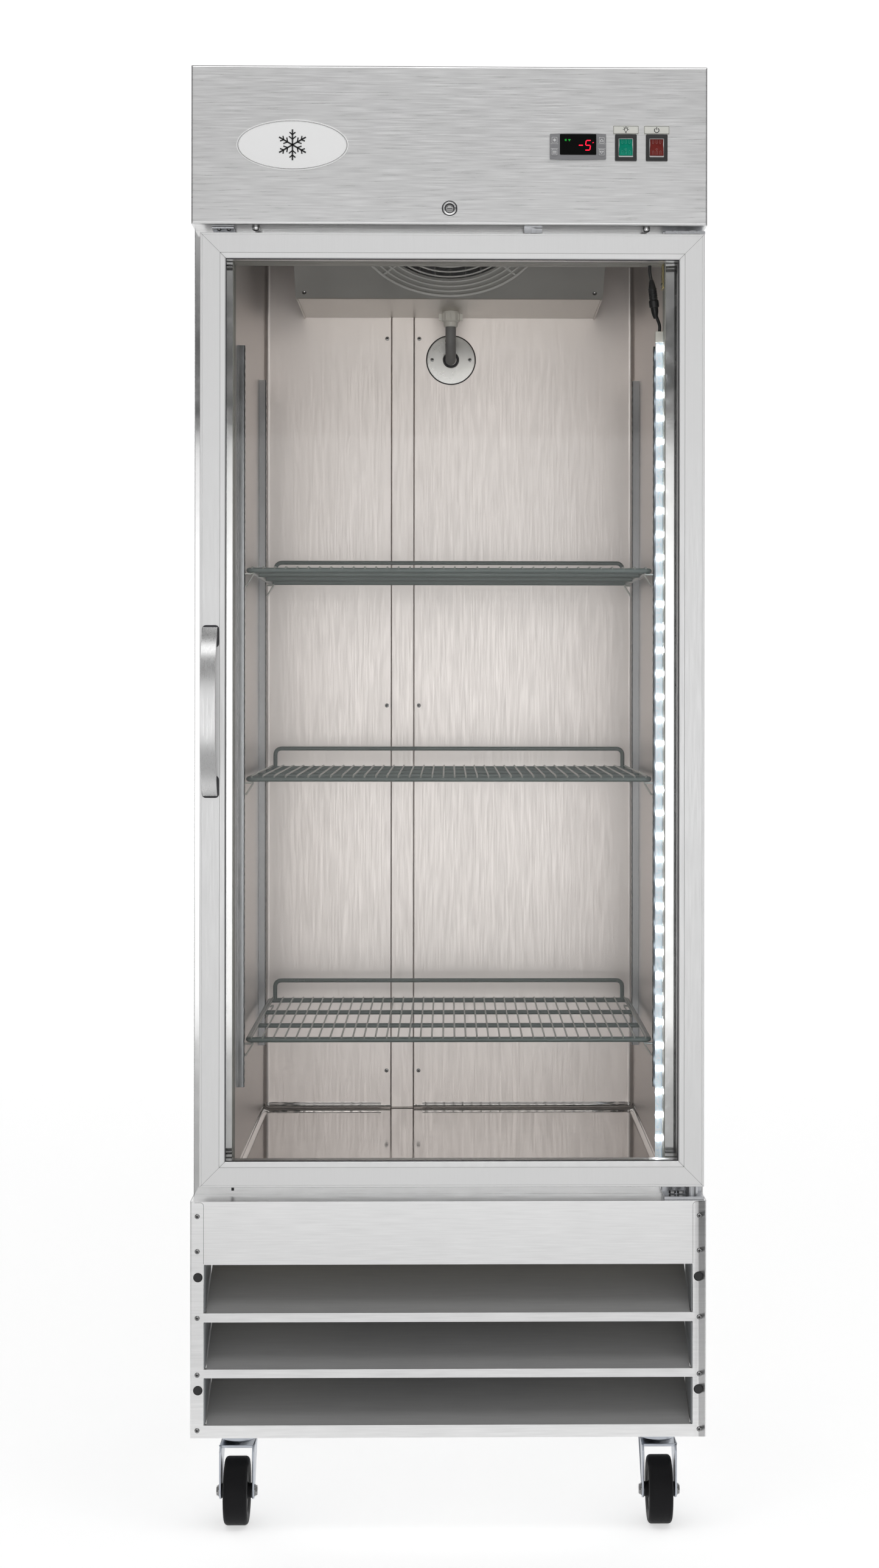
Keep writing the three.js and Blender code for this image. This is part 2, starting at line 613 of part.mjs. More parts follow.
function shelf(name, level) {
  const side = SHELF_HALF - SHELF_ROD;
  const across = (depth) => rod(vec(-side, depth, level), vec(side, depth, level), SHELF_ROD, 8);
  const along = (x) => rod(vec(x, SHELF_FRONT, level), vec(x, SHELF_REAR, level), SHELF_ROD, 8);
  const third = (SHELF_REAR - SHELF_FRONT) / 3;
  const rods = [0, 1, 2, 3].map((i) => across(SHELF_FRONT + i * third));
  const frame = join(...rods, along(-side), along(side));
  const wireLow = level + SHELF_ROD + 0.1;
  const wireTop = wireLow + SHELF_WIRE;
  const ladderHalf = side - 2;
  const pitch = (2 * ladderHalf - SHELF_WIRE) / (SHELF_WIRE_COUNT - 1);
  const [front, rear] = [SHELF_FRONT - 2, SHELF_REAR + 2];
  const tie = 3;
  let wires = box(-ladderHalf, ladderHalf, front, rear, wireLow, wireTop);
  for (let i = 0; i < SHELF_WIRE_COUNT - 1; i += 1) {
    const x0 = -ladderHalf + i * pitch + SHELF_WIRE;
    const slot = box(x0, x0 + pitch - SHELF_WIRE, front + tie, rear - tie, wireLow - 2, wireTop + 2);
    wires = cut(wires, slot);
  }
  const tieLow = level + SHELF_ROD - 1;
  wires = join(
    wires,
    box(-ladderHalf, ladderHalf, front, front + tie, tieLow, wireTop),
    box(-ladderHalf, ladderHalf, rear - tie, rear, tieLow, wireTop),
  );
  const path = new THREE.CurvePath();
  const top = level + GUARD_RAIL_HIGH;
  const bend = 10;
  const post = side - 8;
  const back = SHELF_REAR;
  path.add(new THREE.LineCurve3(vec(-post, back, level), vec(-post, back, top - bend)));
  path.add(new THREE.QuadraticBezierCurve3(
    vec(-post, back, top - bend), vec(-post, back, top), vec(-post + bend, back, top),
  ));
  path.add(new THREE.LineCurve3(vec(-post + bend, back, top), vec(post - bend, back, top)));
  path.add(new THREE.QuadraticBezierCurve3(
    vec(post - bend, back, top), vec(post, back, top), vec(post, back, top - bend),
  ));
  path.add(new THREE.LineCurve3(vec(post, back, top - bend), vec(post, back, level)));
  const rail = guardRail(path);
  add(name, join(frame, wires, rail), epoxy);
}

function guardRail(path) {
  const pieces = path.curves.map((curve) => {
    const straight = curve instanceof THREE.LineCurve3;
    return sweep(curve, SHELF_ROD - 0.6, 8, straight ? 1 : 4);
  });
  return join(...pieces);
}

// ---- cooling coil housing under the ceiling ----
function coilFrame(along, offset) {
  const c = Math.cos(COIL_SLOPE);
  const s = Math.sin(COIL_SLOPE);
  const up = vec(0, -c, s);
  const normal = vec(0, -s, -c);
  const origin = vec(0, COIL_EDGE.depth, COIL_EDGE.z)
    .addScaledVector(up, along)
    .addScaledVector(normal, offset);
  return new THREE.Matrix4().makeBasis(vec(1, 0, 0), up, normal).setPosition(origin);
}

function evaporatorCover() {
  const wall = 1.2;
  const rear = ROOM_BACK - GAP;
  const ceiling = ROOM_CEILING - GAP;
  const run = (ceiling - COIL_EDGE.z) / Math.tan(COIL_SLOPE);
  const outside = [
    [COIL_EDGE.depth, COIL_EDGE.z], [rear, COIL_EDGE.z], [rear, ceiling], [COIL_EDGE.depth - run, ceiling],
  ];
  const shift = wall / Math.sin(COIL_SLOPE);
  const inside = [
    [COIL_EDGE.depth + 0.5, COIL_EDGE.z + wall], [rear + 5, COIL_EDGE.z + wall],
    [rear + 5, ceiling + 5], [COIL_EDGE.depth - run + shift - 6, ceiling + 5],
  ];
  const shell = prismX(outside, -COIL_HALF, COIL_HALF);
  const hollow = prismX(inside, -COIL_HALF + wall, COIL_HALF - wall);
  const fanHole = disc(COIL_FAN_RADIUS + 6, -8, 4, 40, coilFrame(COIL_FAN_ALONG, 0));
  const drainPort = disc(7, COIL_EDGE.z - 2, COIL_EDGE.z + 4, 16, at(DRAIN.x, DRAIN.depth, 0));
  add('evaporator_cover', cut(shell, hollow, fanHole, drainPort), coilPaint);
}

// Concentric rings on radial wires, with the motor's stub behind the middle.
function fanGuard() {
  const stand = 5;
  const wire = 1.6;
  const frame = coilFrame(COIL_FAN_ALONG, 0);
  let body = disc(24, stand - 2, stand + 2, 20, frame);
  body = join(body, disc(13, -25, stand, 16, frame));
  for (const radius of [COIL_GUARD_RADIUS, 120, 90, 60]) {
    const [r0, r1] = [radius - wire, radius + wire];
    const profile = [[r0, stand - wire], [r1, stand - wire], [r1, stand + wire], [r0, stand + wire]];
    const ring = [...profile, profile[0]];
    body = join(body, turnedSolid(ring, 24, frame));
  }
  const spokes = 4;
  for (let i = 0; i < spokes; i += 1) {
    const angle = ((i + 0.5) / spokes) * Math.PI * 2;
    const bar = new THREE.BoxGeometry(COIL_GUARD_RADIUS - 20, 3, 2.4);
    bar.translate((COIL_GUARD_RADIUS + 20) / 2, 0, stand);
    bar.rotateZ(angle);
    bar.applyMatrix4(frame);
    body = join(body, solid(bar));
  }
  add('fan_guard', body, zinc);
}

function evaporatorFan() {
  add('evaporator_fan', transformed(fan(COIL_FAN_RADIUS, 5, 56), coilFrame(COIL_FAN_ALONG, -30)), blackPlastic);
}

function evaporatorCoil() {
  const half = 225;
  const [front, spine] = [530, 690];
  const fins = 18;
  const pitch = (2 * half) / fins;
  const comb = [[-half, spine + 3], [half, spine + 3]];
  for (let i = fins - 1; i >= 0; i -= 1) {
    const x = -half + i * pitch;
    comb.push([x + pitch, spine], [x + 2, spine], [x + 2, front], [x, front]);
  }
  const geometry = extrude(outline(comb), 150);
  geometry.translate(0, 0, 1866);
  add('evaporator_coil', solid(geometry), aluminium);
}

function drain() {
  const nut = disc(15, 1824, COIL_EDGE.z - GAP, 6, at(DRAIN.x, DRAIN.depth, 0));
  const neck = disc(6.6, 1840, COIL_EDGE.z + 12, 12, at(DRAIN.x, DRAIN.depth, 0));
  const collar = disc(11, 1818, 1826, 16, at(DRAIN.x, DRAIN.depth, 0));
  add('drain_fitting', join(nut, neck, collar), whitePlastic);
  const route = new THREE.CatmullRomCurve3([
    vec(DRAIN.x, DRAIN.depth, 1818 - GAP),
    vec(DRAIN.x, DRAIN.depth, 1807),
    vec(DRAIN.x, DRAIN.depth + 7, 1791),
    vec(DRAIN.x, DRAIN.depth + 22, 1779),
    vec(DRAIN.x, DRAIN.depth + 42, 1773.5),
    vec(DRAIN.x, DRAIN.depth + 62, DRAIN.outletZ),
    vec(DRAIN.x, ROOM_BACK + 8, DRAIN.outletZ),
  ]);
  add('drain_hose', sweep(route, DRAIN.radius, 12, 16), greyPlastic);
}

// ---- interior light ----
function ledLight() {
  const [x0, x1] = [300.4, ROOM_HALF - GAP];
  const section = outline([[x0 + 3, 80], [x1, 80], [x1, 95], [x0, 95], [x0, 84]]);
  const geometry = extrude(section, 1736 - 524);
  geometry.translate(0, 0, 524);
  add('led_bar', solid(geometry), whitePlastic);
  const route = new THREE.CatmullRomCurve3([
    vec(307, 88, 1736 + GAP),
    vec(307, 88, 1746),
    vec(303, 86, 1757),
    vec(299.5, 84, 1770),
    vec(297, 82, 1790),
    vec(294.6, 80, 1808),
    vec(292, 77.6, 1822),
    vec(292, 77.6, LINTEL - GAP),
  ]);
  const lead = sweep(route, 2.3, 8, 24);
  const connector = rod(vec(300, 84.2, 1764), vec(295, 80.2, 1806), 6.5, 12);
  add('led_lead', join(lead, connector), blackPlastic);
}

// ---- casters ----
function caster(label, x, swivel) {
  const top = at(x, swivel, 0);
  const plateTop = BASE_BOTTOM - GAP;
  const plate = box(x - 45, x + 45, swivel - 42, swivel + 42, plateTop - 3.5, plateTop);
  const race = turnedSolid([[0, 114.3], [20, 114.3], [26.5, 124], [26.5, 134], [20, 142.5], [0, 142.5]], 20, top);
  const pin = disc(5, 106, 116, 12, top);
  const pinHead = disc(8.5, 104.6, 108.9, 6, top);
  add(`caster_plate_${label}`, join(plate, race, pin, pinHead), zinc);

  const axle = swivel - CASTER_TRAIL;
  const crown = box(x - 26, x + 26, axle - 4, swivel + 26, 109.5, 114);
  const boreHole = disc(5.5, 100, 120, 16, top);
  const leg = [
    [axle - 12, WHEEL_RADIUS], [axle - 8.5, WHEEL_RADIUS - 8.5], [axle, WHEEL_RADIUS - 12],
    [axle + 9, WHEEL_RADIUS - 8], [swivel + 26, 103], [swivel + 26, 114], [axle - 4, 114],
  ];
  const legs = [-1, 1].map((side) => {
    const [x0, x1] = side < 0 ? [x - 26, x - 22] : [x + 22, x + 26];
    return prismX(leg, x0, x1);
  });
  const bolt = rod(vec(x - 27, axle, WHEEL_RADIUS), vec(x + 27, axle, WHEEL_RADIUS), 5, 12);
  const ends = [-1, 1].map((side) => {
    const from = vec(x + side * 25.5, axle, WHEEL_RADIUS);
    const to = vec(x + side * 30, axle, WHEEL_RADIUS);
    return rod(from, to, 7.2, 6);
  });
  add(`caster_fork_${label}`, join(cut(crown, boreHole), ...legs, bolt, ...ends), zinc);

  const tread = [];
  const roundSteps = 3;
  for (let i = 0; i <= roundSteps; i += 1) {
    const angle = ((i / roundSteps) * Math.PI) / 2;
    tread.push([WHEEL_RADIUS - 7 + 7 * Math.sin(angle), -WHEEL_HALF + 7 - 7 * Math.cos(angle)]);
  }
  const mirrored = tread.map(([r, h]) => [r, -h]).reverse();
  const bore = 5.4;
  const hub = 21.5;
  const profile = [
    [bore, -hub], [11, -hub], [11, -WHEEL_HALF], ...tread, ...mirrored,
    [11, WHEEL_HALF], [11, hub], [bore, hub], [bore, -hub],
  ];
  const wheelPlace = placed(AXES.alongX, x, axle, WHEEL_RADIUS);
  add(`caster_wheel_${label}`, turnedSolid(profile, 22, wheelPlace), rubber);
}

outerShell();
innerLiner();
insulation();
baseDeck();
louvreGrille();
compressor();
condenser();
condenserFan();
headerPanel();
controller();
rockerSwitch('light_switch', LIGHT_SWITCH, greenLens);
rockerSwitch('power_switch', POWER_SWITCH, redLens);
lock();
doorFrame();
doorGlass();
doorGasket();
doorHandle();
hinges();
pilaster('pilaster_front_left', -1, PILASTER.front);
pilaster('pilaster_front_right', 1, PILASTER.front);
pilaster('pilaster_rear_left', -1, PILASTER.rear);
pilaster('pilaster_rear_right', 1, PILASTER.rear);
SHELF_LEVELS.forEach((level, i) => shelf(`shelf_${['lower', 'middle', 'upper'][i]}`, level));
evaporatorCover();
fanGuard();
evaporatorFan();
evaporatorCoil();
drain();
ledLight();
caster('front_left', -CASTER_X, CASTER_SWIVELS.front);
caster('front_right', CASTER_X, CASTER_SWIVELS.front);
caster('rear_left', -CASTER_X, CASTER_SWIVELS.rear);
caster('rear_right', CASTER_X, CASTER_SWIVELS.rear);

export default object;
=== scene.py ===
"""Reach-in refrigerator: the visual model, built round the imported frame."""
import json
import math

import bmesh
import bpy
from mathutils import Matrix, Vector

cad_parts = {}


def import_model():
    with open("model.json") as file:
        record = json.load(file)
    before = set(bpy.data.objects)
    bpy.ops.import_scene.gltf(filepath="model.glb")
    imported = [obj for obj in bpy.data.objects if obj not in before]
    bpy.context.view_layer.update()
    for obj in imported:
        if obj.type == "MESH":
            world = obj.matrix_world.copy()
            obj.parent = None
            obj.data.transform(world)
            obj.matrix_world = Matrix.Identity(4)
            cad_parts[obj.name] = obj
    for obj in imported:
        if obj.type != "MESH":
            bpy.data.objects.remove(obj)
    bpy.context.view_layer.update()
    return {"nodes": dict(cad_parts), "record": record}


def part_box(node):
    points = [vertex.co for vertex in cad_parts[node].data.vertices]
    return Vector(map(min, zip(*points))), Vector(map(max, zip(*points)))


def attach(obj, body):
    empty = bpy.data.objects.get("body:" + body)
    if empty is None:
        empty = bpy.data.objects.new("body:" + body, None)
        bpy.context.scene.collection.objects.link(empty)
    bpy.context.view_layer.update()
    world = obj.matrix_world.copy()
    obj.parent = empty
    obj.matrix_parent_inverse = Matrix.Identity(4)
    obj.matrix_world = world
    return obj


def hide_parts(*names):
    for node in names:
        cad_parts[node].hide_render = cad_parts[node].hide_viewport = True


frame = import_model()

# Pieces are drawn in millimetres as (x, depth behind the header's front plane, z).
MM = 0.001
FRONT_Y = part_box("header_panel")[0].y


def span(node):
    """A CAD node's lowest and highest corner as (x, depth, z) in millimetres."""
    low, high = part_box(node)
    return (
        Vector((low.x / MM, (low.y - FRONT_Y) / MM, low.z / MM)),
        Vector((high.x / MM, (high.y - FRONT_Y) / MM, high.z / MM)),
    )


def middle(node):
    low, high = span(node)
    return (low + high) / 2


# ---------------------------------------------------------------- camera and light
CAMERA_DISTANCE = 3.7
CAMERA_HEIGHT = 1.2234
CAMERA_LENS = 59.53
CAMERA_SHIFT = (-0.0330, -0.0648)
CAMERA_TURN = math.radians(0.93)
CAMERA_ROLL = math.radians(0.06)


def make_camera():
    data = bpy.data.cameras.new("camera")
    data.lens = CAMERA_LENS
    data.sensor_width = 36
    data.shift_x, data.shift_y = CAMERA_SHIFT
    data.clip_end = 50
    camera = bpy.data.objects.new("camera", data)
    camera.location = (0, FRONT_Y - CAMERA_DISTANCE, CAMERA_HEIGHT)
    camera.rotation_euler = (math.pi / 2, -CAMERA_ROLL, -CAMERA_TURN)
    bpy.context.scene.collection.objects.link(camera)
    bpy.context.scene.camera = camera


def area_light(name, place, target, wide, high, power, colour=(1, 1, 1)):
    data = bpy.data.lights.new(name, "AREA")
    data.shape = "RECTANGLE"
    data.size = wide
    data.size_y = high
    data.energy = power
    data.color = colour
    lamp = bpy.data.objects.new(name, data)
    lamp.location = place
    lamp.visible_camera = False
    aim = Vector(target) - Vector(place)
    lamp.rotation_euler = aim.to_track_quat("-Z", "Y").to_euler()
    bpy.context.scene.collection.objects.link(lamp)


# The room's brightness in reflections, by the height looked at, from straight down to straight up.
ROOM_TONES = (
    (0.0, 0.80), (0.518, 0.80), (0.532, 0.20), (0.572, 0.14), (0.588, 0.72), (0.604, 0.58),
    (0.63, 0.42), (0.82, 0.42), (1.0, 0.26),
)
PLAIN_ROOM = (0.95, 0.95, 0.95, 1)
# Light crosses both panes of the door on its way in and again on its way out.
PANE_CROSSINGS = 32


def make_world():
    """A room that is graded from floor to ceiling in reflections and plain where it is seen."""
    world = bpy.data.worlds.new("studio")
    bpy.context.scene.world = world
    world.use_nodes = True
    nodes, links = world.node_tree.nodes, world.node_tree.links
    place = nodes.new("ShaderNodeTexCoord")
    split = nodes.new("ShaderNodeSeparateXYZ")
    height = nodes.new("ShaderNodeMapRange")
    height.inputs["From Min"].default_value = -1
    ramp = nodes.new("ShaderNodeValToRGB")
    links.new(place.outputs["Generated"], split.inputs[0])
    links.new(split.outputs["Z"], height.inputs["Value"])
    links.new(height.outputs["Result"], ramp.inputs["Fac"])
    links.new(ramp.outputs["Color"], nodes["Background"].inputs["Color"])
    seen = nodes.new("ShaderNodeLightPath")
    plain = nodes.new("ShaderNodeBackground")
    plain.inputs["Color"].default_value = PLAIN_ROOM
    mix = nodes.new("ShaderNodeMixShader")
    links.new(seen.outputs["Is Camera Ray"], mix.inputs["Fac"])
    links.new(nodes["Background"].outputs["Background"], mix.inputs[1])
    links.new(plain.outputs["Background"], mix.inputs[2])
    links.new(mix.outputs["Shader"], nodes["World Output"].inputs["Surface"])
    while len(ramp.color_ramp.elements) < len(ROOM_TONES):
        ramp.color_ramp.elements.new(0.5)
    for stop, (position, tone) in zip(ramp.color_ramp.elements, ROOM_TONES):
        stop.position = position
        stop.color = (tone, tone, tone, 1)


WARM = (1.0, 0.95, 0.90)


def make_studio():
    """The room, a white panel behind the camera, a top light and a faint glow at the lintel."""
    scene = bpy.context.scene
    scene.view_settings.view_transform = "Standard"
    make_world()
    scene.cycles.transparent_max_bounces = PANE_CROSSINGS
    behind = FRONT_Y - CAMERA_DISTANCE - 1.5
    area_light("panel", (0.15, behind, 0.925), (0.15, 0, 0.925), 3.4, 2.29, 27)
    area_light("overhead", (0.2, -1.5, 3.3), (0, -0.3, 1.4), 2.6, 0.9, 14)
    lintel, rear = (0, FRONT_Y + 0.11, 1.81), (0, FRONT_Y + 0.6, 1.70)
    area_light("lintel_glow", lintel, rear, 0.5, 0.06, 0.1, WARM)


SCREEN_X = 1.35
SCREEN_FRONT = -1.0
SCREEN_LOW, SCREEN_HIGH = 0.02, 3.0


def side_screens():
    """A dark screen on each side, out of the camera's sight, that draws the steel's edges."""
    outline = [(SCREEN_FRONT, SCREEN_LOW), (FRONT_Y, SCREEN_LOW)]
    outline += [(FRONT_Y, SCREEN_HIGH), (SCREEN_FRONT, SCREEN_HIGH)]
    for label, x in (("left", -SCREEN_X), ("right", SCREEN_X)):
        mesh = bpy.data.meshes.new(f"screen_{label}")
        corners = [(x, y, z) for y, z in outline]
        mesh.from_pydata(corners, [], [(0, 1, 2, 3)])
        mesh.materials.append(FINISHES["screen_cloth"])
        screen = bpy.data.objects.new(f"screen_{label}", mesh)
        screen.visible_camera = False
        screen.visible_diffuse = False
        screen.visible_shadow = False
        bpy.context.scene.collection.objects.link(screen)


def make_stage():
    """A pale floor that curves up into a pale backdrop far behind the object."""
    reach, front, back, rise = 14.0, -12.0, 12.0, 14.0
    bend, steps = 3.0, 12
    outline = [(front, 0.0), (back - bend, 0.0)]
    for i in range(1, steps + 1):
        angle = math.pi / 2 * i / steps
        outline.append((back - bend + bend * math.sin(angle), bend - bend * math.cos(angle)))
    outline.append((back, rise))
    verts = [(x, y, z) for x in (-reach, reach) for y, z in outline]
    count = len(outline)
    faces = [(i, i + 1, count + i + 1, count + i) for i in range(count - 1)]
    mesh = bpy.data.meshes.new("backdrop")
    mesh.from_pydata(verts, [], faces)
    mesh.shade_smooth()
    mesh.materials.append(FINISHES["backdrop_paper"])
    backdrop = bpy.data.objects.new("backdrop", mesh)
    bpy.context.scene.collection.objects.link(backdrop)


# ---------------------------------------------------------------- materials
LED_PITCH = 33.9
TOP_CHIP = span("led_bar")[1].z - 25

# The finishes made here, by name; the part's own materials can share those names.
FINISHES = {}


def new_material(name):
    material = bpy.data.materials.new(name)
    material.use_nodes = True
    FINISHES[name] = material
    return material.node_tree.nodes["Principled BSDF"]


def tools(name):
    tree = FINISHES[name].node_tree
    return tree.nodes, tree.links


def noise(name, scale, detail=3.0, rough=0.6):
    """Noise in the piece's own metres, with its own scale along each axis."""
    nodes, links = tools(name)
    place = nodes.new("ShaderNodeTexCoord")
    mapping = nodes.new("ShaderNodeMapping")
    texture = nodes.new("ShaderNodeTexNoise")
    mapping.inputs["Scale"].default_value = scale
    texture.inputs["Scale"].default_value = 1.0
    texture.inputs["Detail"].default_value = detail
    texture.inputs["Roughness"].default_value = rough
    links.new(place.outputs["Object"], mapping.inputs["Vector"])
    links.new(mapping.outputs["Vector"], texture.inputs["Vector"])
    return texture.outputs["Fac"]


def blend_colour(name, factor, low, high, start=0.3, end=0.7):
    """A colour that runs from low to high as factor runs from start to end."""
    nodes, links = tools(name)
    ramp = nodes.new("ShaderNodeValToRGB")
    ramp.color_ramp.elements[0].position = start
    ramp.color_ramp.elements[0].color = (*low, 1)
    ramp.color_ramp.elements[1].position = end
    ramp.color_ramp.elements[1].color = (*high, 1)
    links.new(factor, ramp.inputs["Fac"])
    return ramp.outputs["Color"]


def blend_value(name, factor, low, high):
    nodes, links = tools(name)
    change = nodes.new("ShaderNodeMapRange")
    change.inputs["From Min"].default_value = 0.3
    change.inputs["From Max"].default_value = 0.7
    change.inputs["To Min"].default_value = low
    change.inputs["To Max"].default_value = high
    links.new(factor, change.inputs["Value"])
    return change.outputs["Result"]


def average(name, first, second, weight=0.5):
    nodes, links = tools(name)
    mix = nodes.new("ShaderNodeMix")
    mix.inputs["Factor"].default_value = weight
    links.new(first, mix.inputs[2])
    links.new(second, mix.inputs[3])
    return mix.outputs[0]


def bump(name, shader, height, strength, distance):
    nodes, links = tools(name)
    node = nodes.new("ShaderNodeBump")
    node.inputs["Strength"].default_value = strength
    node.inputs["Distance"].default_value = distance
    links.new(height, node.inputs["Height"])
    links.new(node.outputs["Normal"], shader.inputs["Normal"])


def tones(colour, spread):
    return [c * (1 - spread) for c in colour], [min(1.0, c * (1 + spread)) for c in colour]


# Noise scales along x, depth and z for grain that runs along each of them.
GRAIN = {"x": (18, 420, 520), "z": (520, 420, 18), "d": (520, 18, 420)}


def brushed(name, colour, rough, along="x", metallic=1.0, spread=0.06):
    """Sheet metal with short straight grain and a slow, faint change of tone."""
    shader = new_material(name)
    shader.inputs["Metallic"].default_value = metallic
    grain = noise(name, GRAIN[along], 2.0, 0.5)
    slow = noise(name, (2.2, 2.2, 3.0), 2.0)
    links = tools(name)[1]
    tone = average(name, grain, slow, 0.35)
    links.new(blend_colour(name, tone, *tones(colour, spread)), shader.inputs["Base Color"])
    links.new(blend_value(name, grain, rough - 0.05, rough + 0.05), shader.inputs["Roughness"])
    bump(name, shader, grain, 0.012, 0.0001)
    return shader


def moulded(name, colour, rough, grain=900.0, strength=0.15, spread=0.08):
    """Moulded plastic, rubber or paint with a fine texture and a slight drift of tone."""
    shader = new_material(name)
    fine = noise(name, (grain, grain, grain), 2.0)
    slow = noise(name, (9, 9, 9), 2.0)
    links = tools(name)[1]
    links.new(blend_colour(name, slow, *tones(colour, spread)), shader.inputs["Base Color"])
    links.new(blend_value(name, fine, rough - 0.05, rough + 0.05), shader.inputs["Roughness"])
    bump(name, shader, fine, strength, 0.0003)
    return shader


def coated(name, colour, rough, coat, grain=700.0):
    shader = moulded(name, colour, rough, grain)
    shader.inputs["Coat Weight"].default_value = coat
    shader.inputs["Coat Roughness"].default_value = 0.15


def polished(name, colour, rough):
    """Plated or polished metal with faint smears."""
    shader = new_material(name)
    shader.inputs["Metallic"].default_value = 1.0
    smear = noise(name, (25, 25, 25))
    links = tools(name)[1]
    links.new(blend_colour(name, smear, *tones(colour, 0.04)), shader.inputs["Base Color"])
    links.new(blend_value(name, smear, rough - 0.03, rough + 0.05), shader.inputs["Roughness"])


def glowing(name, colour, strength):
    """A lit plastic: its own colour, mottled, and the same colour given off."""
    shader = new_material(name)
    mottle = noise(name, (260, 260, 260), 1.0)
    links = tools(name)[1]
    tint = blend_colour(name, mottle, *tones(colour, 0.12))
    links.new(tint, shader.inputs["Base Color"])
    links.new(tint, shader.inputs["Emission Color"])
    shader.inputs["Emission Strength"].default_value = strength
    shader.inputs["Roughness"].default_value = 0.4
    shader.inputs["Specular IOR Level"].default_value = 0.06


def led_tape_glow():
    """The tape's pale face, brighter round each chip."""
    glowing("led_tape", (0.74, 0.83, 0.92), 0.5)
    nodes, links = tools("led_tape")
    place = nodes.new("ShaderNodeTexCoord")
    split = nodes.new("ShaderNodeSeparateXYZ")
    links.new(place.outputs["Object"], split.inputs[0])
    turns = 2 * math.pi / (LED_PITCH * MM)
    chips = [("SUBTRACT", TOP_CHIP * MM), ("MULTIPLY", turns), ("COSINE", 0)]
    signal = split.outputs["Z"]
    for operation, value in chips:
        step = nodes.new("ShaderNodeMath")
        step.operation = operation
        links.new(signal, step.inputs[0])
        step.inputs[1].default_value = value
        signal = step.outputs[0]
    glow = nodes.new("ShaderNodeMapRange")
    glow.inputs["From Min"].default_value = 0.55
    glow.inputs["To Min"].default_value = 0.34
    glow.inputs["To Max"].default_value = 2.4
    links.new(signal, glow.inputs["Value"])
    links.new(glow.outputs["Result"], nodes["Principled BSDF"].inputs["Emission Strength"])


def clear_pane(name):
    """Float glass: light passes straight through, and the surface mirrors a little."""
    new_material(name)
    nodes, links = tools(name)
    nodes.remove(nodes["Principled BSDF"])
    clear = nodes.new("ShaderNodeBsdfTransparent")
    mirror = nodes.new("ShaderNodeBsdfGlossy")
    mirror.inputs["Roughness"].default_value = 0.03
    fresnel = nodes.new("ShaderNodeFresnel")
    fresnel.inputs["IOR"].default_value = 1.2
    mix = nodes.new("ShaderNodeMixShader")
    film = noise(name, (3, 3, 3), 2.0)
    tint = blend_colour(name, film, (0.990, 0.990, 0.988), (0.997, 0.997, 0.996))
    links.new(tint, clear.inputs["Color"])
    links.new(fresnel.outputs["Fac"], mix.inputs["Fac"])
    links.new(clear.outputs["BSDF"], mix.inputs[1])
    links.new(mirror.outputs["BSDF"], mix.inputs[2])
    links.new(mix.outputs["Shader"], nodes["Material Output"].inputs["Surface"])


# The floor in front of the cabinet fades from grey to white between these places.
FADE_START, FADE_END = -1.1, -0.62


def backdrop_paper():
    """White paper under and behind the object, and a greyer floor well in front of it."""
    shader = new_material("backdrop_paper")
    nodes, links = tools("backdrop_paper")
    place = nodes.new("ShaderNodeTexCoord")
    split = nodes.new("ShaderNodeSeparateXYZ")
    links.new(place.outputs["Object"], split.inputs[0])
    for socket, near, far in (("Base Color", 0.74, 0.86), ("Emission Strength", 0.16, 0.55)):
        change = nodes.new("ShaderNodeMapRange")
        change.inputs["From Min"].default_value = FADE_START
        change.inputs["From Max"].default_value = FADE_END
        change.inputs["To Min"].default_value = near
        change.inputs["To Max"].default_value = far
        links.new(split.outputs["Y"], change.inputs["Value"])
        links.new(change.outputs["Result"], shader.inputs[socket])
    shader.inputs["Roughness"].default_value = 1.0
    shader.inputs["Specular IOR Level"].default_value = 0
    shader.inputs["Emission Color"].default_value = (1, 1, 1, 1)


